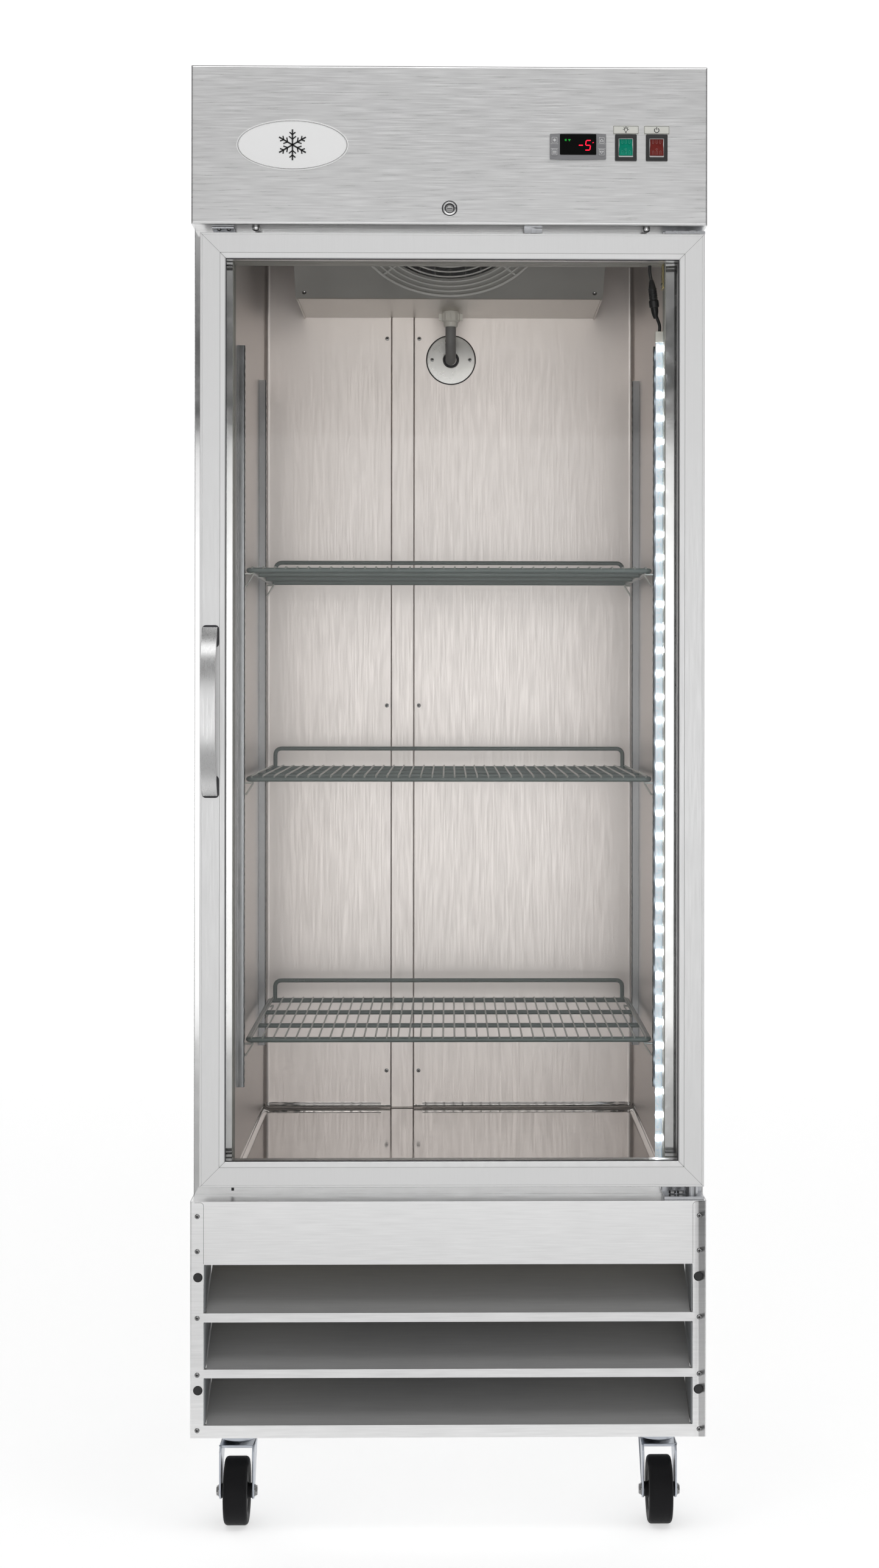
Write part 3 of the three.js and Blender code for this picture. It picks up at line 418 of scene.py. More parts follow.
def make_materials():
    backdrop_paper()
    moulded("screen_cloth", (0.05, 0.05, 0.05), 0.9)
    brushed("outer_steel", (0.64, 0.64, 0.64), 0.28)
    brushed("header_steel", (0.79, 0.79, 0.79), 0.32, spread=0.10)
    brushed("grille_steel", (0.90, 0.90, 0.90), 0.34)
    brushed("liner_steel", (0.91, 0.855, 0.825), 0.40, along="z", spread=0.03)
    polished("liner_floor", (0.80, 0.765, 0.745), 0.06)
    brushed("door_aluminium", (0.80, 0.80, 0.80), 0.45, along="z", metallic=0.9, spread=0.02)
    polished("lock_chrome", (0.70, 0.70, 0.70), 0.16)
    polished("pilaster_chrome", (0.32, 0.33, 0.34), 0.16)
    polished("wire_steel", (0.60, 0.61, 0.58), 0.30)
    polished("hinge_zinc", (0.52, 0.53, 0.55), 0.28)
    polished("caster_zinc", (0.50, 0.53, 0.58), 0.30)
    polished("yellow_zinc", (0.72, 0.60, 0.26), 0.28)
    polished("screw_steel", (0.30, 0.30, 0.30), 0.24)
    moulded("guard_wire", (0.75, 0.75, 0.73), 0.35)
    polished("coil_aluminium", (0.62, 0.62, 0.62), 0.35)
    moulded("foam", (0.70, 0.64, 0.50), 0.9, grain=400, strength=0.6)
    moulded("compressor_paint", (0.035, 0.035, 0.038), 0.35, grain=500)
    moulded("condenser_metal", (0.20, 0.21, 0.22), 0.5)
    moulded("fan_plastic", (0.045, 0.045, 0.045), 0.45)
    moulded("black_plastic", (0.020, 0.020, 0.021), 0.42)
    moulded("key_plastic", (0.23, 0.23, 0.24), 0.45)
    moulded("gasket_rubber", (0.035, 0.035, 0.04), 0.6)
    moulded("breaker_plastic", (0.40, 0.40, 0.36), 0.42, strength=0.03)
    coated("shelf_epoxy", (0.15, 0.19, 0.18), 0.38, 0.3)
    coil = moulded("coil_paint", (0.56, 0.56, 0.54), 0.42, grain=1200)
    coil.inputs["Metallic"].default_value = 0.3
    moulded("white_plastic", (0.95, 0.92, 0.85), 0.4)
    moulded("grey_hose", (0.28, 0.28, 0.28), 0.5)
    moulded("cable_black", (0.012, 0.012, 0.012), 0.42)
    rubber = moulded("caster_rubber", (0.012, 0.012, 0.013), 0.5, grain=300)
    rubber.inputs["Specular IOR Level"].default_value = 0.08
    moulded("label_card", (0.70, 0.70, 0.65), 0.5)
    moulded("seam_line", (0.16, 0.16, 0.16), 0.6)
    moulded("badge_face", (0.93, 0.93, 0.93), 0.5, strength=0.03, spread=0.01)
    moulded("print_dark", (0.012, 0.012, 0.013), 0.5)
    moulded("print_light", (0.88, 0.88, 0.88), 0.5)
    window = moulded("window_black", (0.002, 0.002, 0.002), 0.35, strength=0.01)
    window.inputs["Specular IOR Level"].default_value = 0.08
    moulded("light_diffuser", (0.55, 0.60, 0.62), 0.4)
    glowing("led_chip", (0.95, 0.98, 1.0), 70.0)
    glowing("digit_red", (0.9, 0.012, 0.04), 1.2)
    glowing("icon_green", (0.02, 0.42, 0.05), 0.5)
    moulded("light_rib", (0.04, 0.40, 0.29), 0.30)
    moulded("power_rib", (0.34, 0.13, 0.12), 0.30)
    polished("face_steel", (0.66, 0.66, 0.66), 0.08)
    brushed("handle_aluminium", (0.62, 0.62, 0.62), 0.30, along="z", metallic=0.9, spread=0.03)
    brushed("blade_steel", (0.36, 0.36, 0.36), 0.6, metallic=0.1)
    polished("plate_steel", (0.60, 0.60, 0.59), 0.26)
    coated("shelf_wire", (0.40, 0.42, 0.39), 0.35, 0.3)
    led_tape_glow()
    glowing("green_lens", (0.002, 0.17, 0.11), 0.25)
    glowing("red_lens", (0.13, 0.018, 0.015), 0.20)
    brushed("pan_steel", (0.62, 0.59, 0.55), 0.42)
    clear_pane("clear_glass")


# ---------------------------------------------------------------- mesh tools
PLANES = {
    "x": lambda u, v, w: (w, u, v),
    "d": lambda u, v, w: (u, w, v),
    "z": lambda u, v, w: (u, v, w),
}


def skin(bm, rings, loop=False):
    """Faces between matching rings of points, with end faces unless it loops."""
    rows = [[bm.verts.new(p) for p in ring] for ring in rings]
    count = len(rows[0])
    pairs = list(zip(rows, rows[1:]))
    if loop:
        pairs.append((rows[-1], rows[0]))
    for a, b in pairs:
        for i in range(count):
            j = (i + 1) % count
            bm.faces.new((a[i], a[j], b[j], b[i]))
    if not loop:
        bm.faces.new(reversed(rows[0]))
        bm.faces.new(rows[-1])
    return [v for row in rows for v in row]


def prism(bm, outline, low, high, along):
    """A solid with a flat outline, (depth, z), (x, z) or (x, depth), along the third axis."""
    plane = PLANES[along]
    return skin(bm, [[plane(u, v, w) for u, v in outline] for w in (low, high)])


def block(bm, x0, x1, d0, d1, z0, z1):
    return prism(bm, [(x0, d0), (x1, d0), (x1, d1), (x0, d1)], z0, z1, "z")


def frame_ring(bm, outer, inner, low, high, along):
    """A flat ring between two outlines of as many points."""
    plane = PLANES[along]
    rings = [(outer, low), (outer, high), (inner, high), (inner, low)]
    return skin(bm, [[plane(u, v, w) for u, v in ring] for ring, w in rings], loop=True)


def turned(bm, profile, centre, along, steps=32, place=None, loop=False):
    """A turned solid: its profile is (radius, distance along the axis), end to end or a loop."""
    plane = PLANES[along]
    rings = []
    for radius, w in profile:
        ring = []
        for i in range(steps):
            a = 2 * math.pi * i / steps
            ring.append(plane(radius * math.cos(a), radius * math.sin(a), w))
        rings.append([Vector(p) + Vector(centre) for p in ring])
    verts = skin(bm, rings, loop)
    if place is not None:
        bmesh.ops.transform(bm, matrix=place, verts=verts)
    return verts


def tube(bm, points, radius, sides=8, loop=False):
    """A round bar along the points, which turn gently."""
    points = [Vector(p) for p in points]
    count = len(points)
    tangents = []
    for i in range(count):
        after = points[(i + 1) % count] if loop else points[min(i + 1, count - 1)]
        before = points[(i - 1) % count] if loop else points[max(i - 1, 0)]
        tangents.append((after - before).normalized())
    seed = Vector((0, 0, 1)) if abs(tangents[0].z) < 0.9 else Vector((1, 0, 0))
    normal = tangents[0].cross(seed).normalized()
    rings = []
    for i in range(count):
        if i:
            normal = tangents[i - 1].rotation_difference(tangents[i]) @ normal
        other = tangents[i].cross(normal)
        ring = []
        for k in range(sides):
            a = 2 * math.pi * k / sides
            ring.append(points[i] + radius * (math.cos(a) * normal + math.sin(a) * other))
        rings.append(ring)
    return skin(bm, rings, loop)


def arc(centre, radius, start, end, steps):
    """Points on an arc in a plane, angles in degrees."""
    points = []
    for i in range(steps + 1):
        a = math.radians(start + (end - start) * i / steps)
        points.append((centre[0] + radius * math.cos(a), centre[1] + radius * math.sin(a)))
    return points


def rounded(x, z, wide, high, radius, steps=5):
    """A rectangle with round corners about its middle."""
    points = []
    for sx, sz, start in ((1, 1, 0), (-1, 1, 90), (-1, -1, 180), (1, -1, 270)):
        centre = (x + sx * (wide / 2 - radius), z + sz * (high / 2 - radius))
        points += arc(centre, radius, start, start + 90, steps)
    return points


def oval(x, z, wide, high, steps=64):
    points = []
    for i in range(steps):
        a = 2 * math.pi * i / steps
        points.append((x + wide / 2 * math.cos(a), z + high / 2 * math.sin(a)))
    return points


SHARP = math.radians(35)


def round_edges(bm, edges, width, segments):
    bmesh.ops.bevel(
        bm, geom=edges, offset=width, segments=segments,
        profile=0.5, affect="EDGES", clamp_overlap=True,
    )


def soften(bm, width, segments):
    """Rounds every sharp edge."""
    sharp = []
    for edge in bm.edges:
        if len(edge.link_faces) == 2 and edge.calc_face_angle(0) > SHARP:
            sharp.append(edge)
    round_edges(bm, sharp, width, segments)


def level_shading(obj):
    """Lets the large faces set the shading, so that flat sheet reflects as flat sheet."""
    even = obj.modifiers.new("level", "WEIGHTED_NORMAL")
    even.weight = 100
    even.keep_sharp = True


def drawn_object(bm, name, material):
    """The drawn mesh in the frame's metres, as an object in its finish."""
    bmesh.ops.scale(bm, vec=(MM, MM, MM), verts=bm.verts)
    bmesh.ops.translate(bm, vec=(0, FRONT_Y, 0), verts=bm.verts)
    mesh = bpy.data.meshes.new(name)
    bm.to_mesh(mesh)
    bm.free()
    mesh.shade_smooth()
    mesh.set_sharp_from_angle(angle=SHARP)
    mesh.materials.append(FINISHES[material])
    obj = bpy.data.objects.new(name, mesh)
    bpy.context.scene.collection.objects.link(obj)
    return obj


def piece(bm, name, body, material, replaces=(), soft=0.0, segments=2):
    """Finishes a drawn mesh as one piece that rides on a body."""
    bmesh.ops.remove_doubles(bm, verts=bm.verts, dist=0.001)
    bmesh.ops.recalc_face_normals(bm, faces=bm.faces)
    if soft:
        soften(bm, soft, segments)
    obj = drawn_object(bm, name, material)
    level_shading(obj)
    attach(obj, body)
    if replaces:
        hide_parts(*replaces)
    return obj


# The screws drawn so far, whose recesses get painted shade: place, radius, height and axis.
RECESS_SHADES = []


def paint_recess_shade(body):
    """Painted shade in the cross recesses of all the screws drawn so far: black crosses set into the
    heads, as one piece.
    """
    bm = bmesh.new()
    for x, d, z, radius, high, along in RECESS_SHADES:
        plane = PLANES[along]
        for wide, tall in ((radius * 1.1, radius * 0.34), (radius * 0.34, radius * 1.1)):
            outline = rounded(0, 0, wide, tall, radius * 0.1, 2)
            rings = []
            for w in (high * 0.6, high * 1.06):
                rings.append([Vector(plane(u, v, w)) + Vector((x, d, z)) for u, v in outline])
            skin(bm, rings)
    RECESS_SHADES.clear()
    # The crosses are black to paint the shade that falls inside each recess.
    piece(bm, "screw_recess_shade", body, "black_plastic")


def pan_head(bm, x, d, z, radius=3.0, facing=-1, along="d"):
    """A domed screw head standing on a face; the shade in its recess is painted later as a black cross.
    """
    high = radius * 0.55 * facing
    profile = [(radius, 0), (radius, high * 0.45), (radius * 0.8, high * 0.85), (radius * 0.3, high)]
    turned(bm, profile + [(0.001, high)], (x, d, z), along, 18)
    RECESS_SHADES.append((x, d, z, radius, high, along))


def hex_head(bm, x, d, z, flats, high, along="z"):
    """A bolt head or nut, six-sided with a chamfered crown."""
    radius = flats / math.sqrt(3)
    profile = [(radius, 0), (radius, high * 0.8), (radius * 0.86, high), (0.001, high)]
    turned(bm, profile, (x, d, z), along, 6)


# ---------------------------------------------------------------- cords
# Each route repeats the part's own points: (x, depth, z) in millimetres.
LED_LEAD_ROUTE = [
    (307, 88, 1736.3), (307, 88, 1746), (303, 86, 1757), (299.5, 84, 1770), (297, 82, 1790),
    (294.6, 80, 1808), (292, 77.6, 1822), (292, 77.6, 1832.7),
]
LED_LEAD_RADIUS = 2.3
DRAIN_ROUTE = [
    (2, 640, 1817.7), (2, 640, 1807), (2, 647, 1791), (2, 662, 1779), (2, 682, 1773.5),
    (2, 702, 1772), (2, 723, 1772),
]
DRAIN_RADIUS = 8.75


def world(point):
    x, d, z = point
    return Vector((x * MM, FRONT_Y + d * MM, z * MM))


def through(points, steps=6):
    """A Catmull-Rom curve through the points, sampled evenly between each pair."""
    points = [Vector(p) for p in points]
    ends = [2 * points[0] - points[1], *points, 2 * points[-1] - points[-2]]
    out = []
    for a, b, c, d in zip(ends, ends[1:], ends[2:], ends[3:]):
        for i in range(steps):
            t = i / steps
            slope, bend = c - a, 2 * a - 5 * b + 4 * c - d
            twist = 3 * b - a - 3 * c + d
            out.append(b + 0.5 * (slope * t + bend * t * t + twist * t * t * t))
    return out + [points[-1]]


def cord_curve(name, route, radius, material, node):
    data = bpy.data.curves.new(name, "CURVE")
    data.dimensions = "3D"
    data.bevel_depth = radius * MM
    data.bevel_resolution = 5
    data.use_fill_caps = True
    points = [world(p) for p in through(route, 4)]
    spline = data.splines.new("POLY")
    spline.points.add(len(points) - 1)
    for slot, point in zip(spline.points, points):
        slot.co = (*point, 1)
    data.materials.append(FINISHES[material])
    obj = bpy.data.objects.new(name, data)
    bpy.context.scene.collection.objects.link(obj)
    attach(obj, "cabinet")
    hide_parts(node)
    length = sum((b - a).length for a, b in zip(points, points[1:]))
    return obj, length


def led_lead():
    """The strip's lead, with its barrel connector half way."""
    lead, length = cord_curve(
        "led_lead_wire", LED_LEAD_ROUTE, LED_LEAD_RADIUS, "cable_black", "led_lead"
    )
    bm = bmesh.new()
    start, end = Vector((300, 84.2, 1764)), Vector((295, 80.2, 1806))
    along = end - start
    turn = Vector((0, 0, 1)).rotation_difference(along.normalized()).to_matrix().to_4x4()
    place = Matrix.Translation(start) @ turn
    long = along.length
    profile = [(2.6, -9), (4.2, -4), (5.2, 0), (5.6, 7), (7.2, 8), (7.2, 17), (6.2, 18)]
    profile += [(5.8, 19), (5.8, long - 9), (4.6, long - 3), (3.4, long + 3), (2.6, long + 5)]
    turned(bm, profile, (0, 0, 0), "z", 20, place)
    for i in range(5):
        w = 20 + 3.2 * i
        rib = [(5.7, w), (6.4, w + 0.5), (6.4, w + 1.6), (5.7, w + 2.1)]
        turned(bm, rib, (0, 0, 0), "z", 20, place)
    barrel = piece(bm, "led_connector", "cabinet", "cable_black")


def drain_hose():
    hose, length = cord_curve(
        "drain_hose_bend", DRAIN_ROUTE, DRAIN_RADIUS, "grey_hose", "drain_hose"
    )


# ---------------------------------------------------------------- header
HEADER_LOW, HEADER_HIGH = span("header_panel")
HALF = HEADER_HIGH.x


def folded_front(bm, low, high, front, back, bend, thick):
    """A sheet front folded back on four sides, with round bends; open behind."""
    wide, tall = 2 * HALF, high - low
    z = (low + high) / 2
    rings = []
    steps = 6
    for i in range(steps + 1):
        a = math.pi / 2 * i / steps
        inset = bend * (1 - math.sin(a))
        depth = front + bend * (1 - math.cos(a))
        rings.append((inset, depth))
    rings += [(0, back), (thick, back), (thick, front + thick)]
    loops = []
    for inset, depth in rings:
        outline = rounded(0, z, wide - 2 * inset, tall - 2 * inset, 1.2, 3)
        loops.append([(x, depth, h) for x, h in outline])
    skin(bm, loops)


def header_skin():
    bm = bmesh.new()
    folded_front(bm, HEADER_LOW.z, HEADER_HIGH.z, 0, HEADER_HIGH.y, 3.4, 1.0)
    piece(bm, "header_skin", "cabinet", "header_steel", replaces=["header_panel"])


BADGE = {"x": -224, "z": 1989, "wide": 160, "high": 73}


def badge():
    """A plain oval plate with a bright rim and a snow crystal."""
    x, z, wide, high = BADGE.values()
    bm = bmesh.new()
    prism(bm, oval(x, z, wide, high), -1.6, -0.1, "d")
    piece(bm, "badge_rim", "cabinet", "badge_face", soft=0.6)
    bm = bmesh.new()
    frame_ring(bm, oval(x, z, wide - 3, high - 3), oval(x, z, wide - 6, high - 6), -2.1, -1.5, "d")
    piece(bm, "badge_bead", "cabinet", "lock_chrome", soft=0.2)
    bm = bmesh.new()
    flake_arm, width = 22, 1.1
    for i in range(6):
        turn = Matrix.Translation((x, 0, z)) @ Matrix.Rotation(math.pi / 3 * i, 4, "Y")
        verts = block(bm, -width, width, -1.95, -1.5, 0, flake_arm)
        for reach, length in ((8, 6.5), (14.5, 5.5)):
            for side in (-1, 1):
                twig = block(bm, -width * 0.8, width * 0.8, -1.95, -1.5, 0, length)
                lean = Matrix.Rotation(side * math.pi / 3.6, 4, "Y")
                lean = Matrix.Translation((0, 0, reach)) @ lean
                bmesh.ops.transform(bm, matrix=lean, verts=twig)
                verts += twig
        bmesh.ops.transform(bm, matrix=turn, verts=verts)
    piece(bm, "badge_crystal", "cabinet", "print_dark")


def label_plates():
    """A card above each switch, with a lamp or a power sign instead of words."""
    for label in ("light", "power"):
        place = middle(f"{label}_switch_housing")
        x, z = place.x, place.z + 25.6
        bm = bmesh.new()
        prism(bm, rounded(x, z, 36.5, 12.2, 0.8), -1.2, -0.1, "d")
        piece(bm, f"{label}_label", "cabinet", "label_card", soft=0.25)
        bm = bmesh.new()
        frame_ring(bm, rounded(x, z, 35.4, 11.1, 0.6), rounded(x, z, 34.6, 10.3, 0.5), -1.4, -1.1, "d")
        if label == "light":
            lamp_sign(bm, x, z)
        else:
            power_sign(bm, x, z)
        piece(bm, f"{label}_label_print", "cabinet", "print_dark")


def stroke(bm, points, wide, front=-1.4, back=-1.1):
    """A printed line of the given width through points in (x, z)."""
    for (x0, z0), (x1, z1) in zip(points, points[1:]):
        run, rise = x1 - x0, z1 - z0
        long = math.hypot(run, rise)
        nx, nz = -rise / long * wide / 2, run / long * wide / 2
        outline = [(x0 + nx, z0 + nz), (x1 + nx, z1 + nz)]
        outline += [(x1 - nx, z1 - nz), (x0 - nx, z0 - nz)]
        prism(bm, outline, front, back, "d")


def lamp_sign(bm, x, z):
    stroke(bm, arc((x, z + 0.6), 2.3, -50, 230, 14), 0.95)
    stroke(bm, [(x - 1.4, z - 2.4), (x + 1.4, z - 2.4)], 0.9)
    stroke(bm, [(x - 1.1, z - 3.9), (x + 1.1, z - 3.9)], 0.9)
    for degrees in (0, 45, 90, 135, 180):
        c, s = math.cos(math.radians(degrees)), math.sin(math.radians(degrees))
        stroke(bm, [(x + 3.2 * c, z + 0.6 + 3.2 * s), (x + 4.3 * c, z + 0.6 + 4.3 * s)], 0.8)


def power_sign(bm, x, z):
    stroke(bm, arc((x, z - 0.5), 3.3, 125, 415, 18), 1.1)
    stroke(bm, [(x, z + 0.2), (x, z + 4.0)], 1.1)


CONTROLLER_LOW, CONTROLLER_HIGH = span("controller")
CONTROLLER_X = (CONTROLLER_LOW.x + CONTROLLER_HIGH.x) / 2
CONTROLLER_Z = (CONTROLLER_LOW.z + CONTROLLER_HIGH.z) / 2
CONTROLLER_FRONT = CONTROLLER_LOW.y
WINDOW = {"wide": 52, "high": 29.6, "rise": 2.6}


def bowed(x, z, wide, high, bow, steps=12):
    """A rectangle whose top and bottom edges bow outwards."""
    top, low = [], []
    for i in range(steps + 1):
        t = -1 + 2 * i / steps
        lift = bow * (1 - t * t)
        top.append((x - t * wide / 2, z + high / 2 - bow + lift))
        low.append((x + t * wide / 2, z - high / 2 + bow - lift))
    return top + low


def controller():
    """The digital thermostat: grey bezel, black window, red digits and green signs."""
    x, z, front = CONTROLLER_X, CONTROLLER_Z, CONTROLLER_FRONT
    wide, high = CONTROLLER_HIGH.x - CONTROLLER_LOW.x, CONTROLLER_HIGH.z - CONTROLLER_LOW.z
    bm = bmesh.new()
    prism(bm, bowed(x, z, wide, high, 1.2), front + 0.4, -0.2, "d")
    block(bm, x - 35, x + 35, -0.5, 46, z - 14, z + 14)
    piece(bm, "controller_bezel", "cabinet", "key_plastic", replaces=["controller"], soft=0.7)
    window_z = z + WINDOW["rise"]
    bm = bmesh.new()
    prism(bm, rounded(x, window_z, WINDOW["wide"], WINDOW["high"], 1.2), front - 0.05, front + 1.5, "d")
    piece(bm, "controller_window", "cabinet", "window_black", soft=0.2)
    digits(x + 2.6, z + 1.4, front)
    status_signs(x - 15, z + 8.8, front)
    bm = bmesh.new()
    for side in (-1, 1):
        edge = x + side * 39
        inner = x + side * 28.6
        for level in (-3.6, 3.6):
            stroke(bm, [(edge, z + level), (inner, z + level)], 0.35, front + 0.1, front + 0.5)
    piece(bm, "controller_lines", "cabinet", "print_light")


SEGMENTS = {
    "top": (0, 2, 0), "middle": (0, 1, 0), "low": (0, 0, 0),
    "top_left": (-1, 1.5, 90), "top_right": (1, 1.5, 90),
    "low_left": (-1, 0.5, 90), "low_right": (1, 0.5, 90),
}
DIGIT_LONG, DIGIT_WIDE, DIGIT_LEAN = 6.9, 1.45, 0.12


def digit(bm, x, z, lit, front):
    """The lit bars of one seven-bar digit, leaning a little to the right."""
    half, point = DIGIT_LONG / 2, DIGIT_WIDE / 2
    bar = [(-half + 0.4, 0), (-half + point, point), (half - point, point)]
    bar += [(half - 0.4, 0), (half - point, -point), (-half + point, -point)]
    for name in lit:
        across, up, turn = SEGMENTS[name]
        c, s = math.cos(math.radians(turn)), math.sin(math.radians(turn))
        outline = []
        for u, v in bar:
            px, pz = u * c - v * s + across * half, u * s + v * c + (up - 1) * DIGIT_LONG
            outline.append((x + px + pz * DIGIT_LEAN, z + pz))
        prism(bm, outline, front - 0.35, front - 0.1, "d")


def digits(x, z, front):
    bm = bmesh.new()
    digit(bm, x + 1.4, z, ["middle"], front)
    digit(bm, x + 11.6, z, ["top", "top_left", "middle", "low_right", "low"], front)
    stroke(bm, [(x + 18.0, z + 3.2), (x + 19.6, z + 4.4)], 1.0, front - 0.35, front - 0.1)
    piece(bm, "controller_digits", "cabinet", "digit_red")


def status_signs(x, z, front):
    bm = bmesh.new()
    for k in range(6):
        a = math.pi / 3 * k
        tip = (x - 2.6 + 1.8 * math.cos(a), z + 1.8 * math.sin(a))
        stroke(bm, [(x - 2.6, z), tip], 0.5, front - 0.35, front - 0.1)
    for k in range(3):
        a = 2 * math.pi / 3 * k + 0.5
        centre = (x + 2.6 + 0.95 * math.cos(a), z + 0.95 * math.sin(a))
        prism(bm, oval(*centre, 1.7, 1.3, 10), front - 0.35, front - 0.1, "d")
    piece(bm, "controller_signs", "cabinet", "icon_green")


def keys():
    for name in ("key_set", "key_defrost", "key_up", "key_down"):
        low, high = span(name)
        x, z, front = (low.x + high.x) / 2, (low.z + high.z) / 2, low.y
        bm = bmesh.new()
        prism(bm, rounded(x, z, high.x - low.x, high.z - low.z, 1.2), front, high.y, "d")
        piece(bm, f"{name}_cap", name, "key_plastic", replaces=[name], soft=0.3)
        bm = bmesh.new()
        outer = rounded(x, z, 7.6, 8.6, 1.1)
        frame_ring(bm, outer, rounded(x, z, 7.0, 8.0, 0.9), front - 0.12, front + 0.2, "d")
        key_sign(bm, name, x, z, front)
        piece(bm, f"{name}_print", name, "print_light")


def key_sign(bm, name, x, z, front):
    """An arrow, a snow crystal or a set sign, drawn in thin lines."""
    a, b = front - 0.12, front + 0.2
    if name in ("key_up", "key_down"):
        up = 1 if name == "key_up" else -1
        left, right = (x - 2.6, z - 1.6 * up), (x + 2.6, z - 1.6 * up)
        stroke(bm, [left, (x, z + 1.8 * up), right, left], 0.5, a, b)
    if name == "key_set":
        for k in range(3):
            turn = math.pi / 3 * k + 0.52
            c, s = 2.4 * math.cos(turn), 2.4 * math.sin(turn)
            stroke(bm, [(x - c, z - s), (x + c, z + s)], 0.5, a, b)
        frame_ring(bm, oval(x, z, 3.4, 3.4, 6), oval(x, z, 2.6, 2.6, 6), a, b, "d")
    if name == "key_defrost":
        for k in (-1, 0, 1):
            stroke(bm, [(x - 2.6, z + 1.5 * k), (x + 2.6, z + 1.5 * k)], 0.5, a, b)


LENS_TILT = 7.5


def switches():
    for label, material in (("light", "green_lens"), ("power", "red_lens")):
        low, high = span(f"{label}_switch_housing")
        x, z = (low.x + high.x) / 2, (low.z + high.z) / 2
        wide, tall = high.x - low.x, high.z - low.z
        bm = bmesh.new()
        frame_ring(bm, rounded(x, z, wide, tall, 1.4), rounded(x, z, 22, 28.2, 0.8), -2.6, -0.2, "d")
        frame_ring(bm, rounded(x, z, 26.4, 33.4, 0.8), rounded(x, z, 20.8, 27, 0.8), -3.0, 18, "d")
        piece(
            bm, f"{label}_switch_bezel", "cabinet", "black_plastic",
            replaces=[f"{label}_switch_housing"], soft=0.5,
        )
        rocker(label, material, x, z)


def rocker(label, material, x, z):
    """The lit lens, in its own tilted frame about the pivot."""
    pivot = 5
    tilt = Matrix.Translation((x, pivot, z)) @ Matrix.Rotation(math.radians(-LENS_TILT), 4, "X")
    half = 9.8
    face = [(-7, -12.2), (-6.2, -8), (-5.5, -3), (-5.4, 0), (-5.5, 3), (-6.2, 8), (-7, 12.2)]
    bm = bmesh.new()
    verts = prism(bm, face + [(2, 11), (6, 4), (6, -4), (2, -11)], -half, half, "x")
    bmesh.ops.transform(bm, matrix=tilt, verts=verts)
    body = f"{label}_switch_rocker"
    piece(bm, f"{label}_lens", body, material, replaces=[body], soft=0.8, segments=3)
    bm = bmesh.new()
    for row in (-1, 1):
        for column in (-1, 0, 1):
            outer = rounded(column * 5.2, row * 8.4, 2.4, 6.6, 1.1, 4)
            inner = rounded(column * 5.2, row * 8.4, 1.6, 5.8, 0.7, 4)
            depth = -6.75
            verts = frame_ring(bm, outer, inner, depth, depth + 1.6, "d")
            bmesh.ops.transform(bm, matrix=tilt, verts=verts)
    verts = frame_ring(bm, oval(0, -2.6, 3.6, 3.6, 4), oval(0, -2.6, 2.5, 2.5, 4), -5.75, -4.5, "d")
    bmesh.ops.transform(bm, matrix=tilt, verts=verts)
    piece(bm, f"{label}_lens_ribs", body, f"{label}_rib")


LOCK_X, LOCK_Z = middle("lock_barrel").x, middle("lock_barrel").z


def lock_ring():
    """The barrel's bright rim, with a small notch, and the dark lines round it."""
    x, z = LOCK_X, LOCK_Z
    bm = bmesh.new()
    rim = [(9.5, 26), (9.5, -0.2), (11.3, -0.2), (11.3, -1.2), (10.4, -2.1), (8.4, -2.5), (7.6, -2.2)]
    profile = rim + [(6.6, -1.6), (6.5, 0), (6.5, 26)]
    rings = []
    steps = 48
    for radius, w in profile:
        ring = []
        for i in range(steps):
            a = 2 * math.pi * i / steps
            notch = 1.6 if i in (0, 1, steps - 1) and radius > 9 and w <= 0 else 0
            ring.append((x + (radius - notch) * math.cos(a), w, z + (radius - notch) * math.sin(a)))
        rings.append(ring)
    skin(bm, rings, loop=True)
    piece(bm, "lock_ring", "cabinet", "lock_chrome", replaces=["lock_barrel"])
    bm = bmesh.new()
    for outer, inner, front in ((10.9, 8.9, -2.3), (6.9, 6.2, -2.35)):
        flat_ring(bm, x, z, outer, inner, front, -0.2, 48)
    piece(bm, "lock_shadow_rings", "cabinet", "gasket_rubber", soft=0.1)


def lock_plug():
    """The turning plug with its cam behind, and the keyway on its face, whose slot is painted black as
    the shade inside it.
    """
    x, z = LOCK_X, LOCK_Z
    low, high = span("lock_plug")
    bm = bmesh.new()
    profile = [(6.2, 28), (6.2, -0.6), (5.6, -0.9), (0.001, -0.9)]
    turned(bm, profile, (x, 0, z), "d", 40)
    block(bm, low.x, high.x, 28, high.y, low.z, high.z)
    piece(
        bm, "lock_plug_face", "lock_plug", "screw_steel",
        replaces=["lock_plug"], soft=0.15,
    )
    bm = bmesh.new()
    prism(bm, rounded(x, z, 10, 2.6, 1.2), -1.7, -0.8, "d")
    prism(bm, arc((x, z + 0.2), 3.4, 20, 160, 10), -1.7, -0.8, "d")
    piece(bm, "lock_keyway", "lock_plug", "lock_chrome", soft=0.3)
    bm = bmesh.new()
    # A black slot painted in as the shade inside the keyway.
    prism(bm, rounded(x, z - 0.2, 8.0, 1.3, 0.5), -1.78, -1.5, "d")
    piece(bm, "lock_key_slot_shade", "lock_plug", "black_plastic")


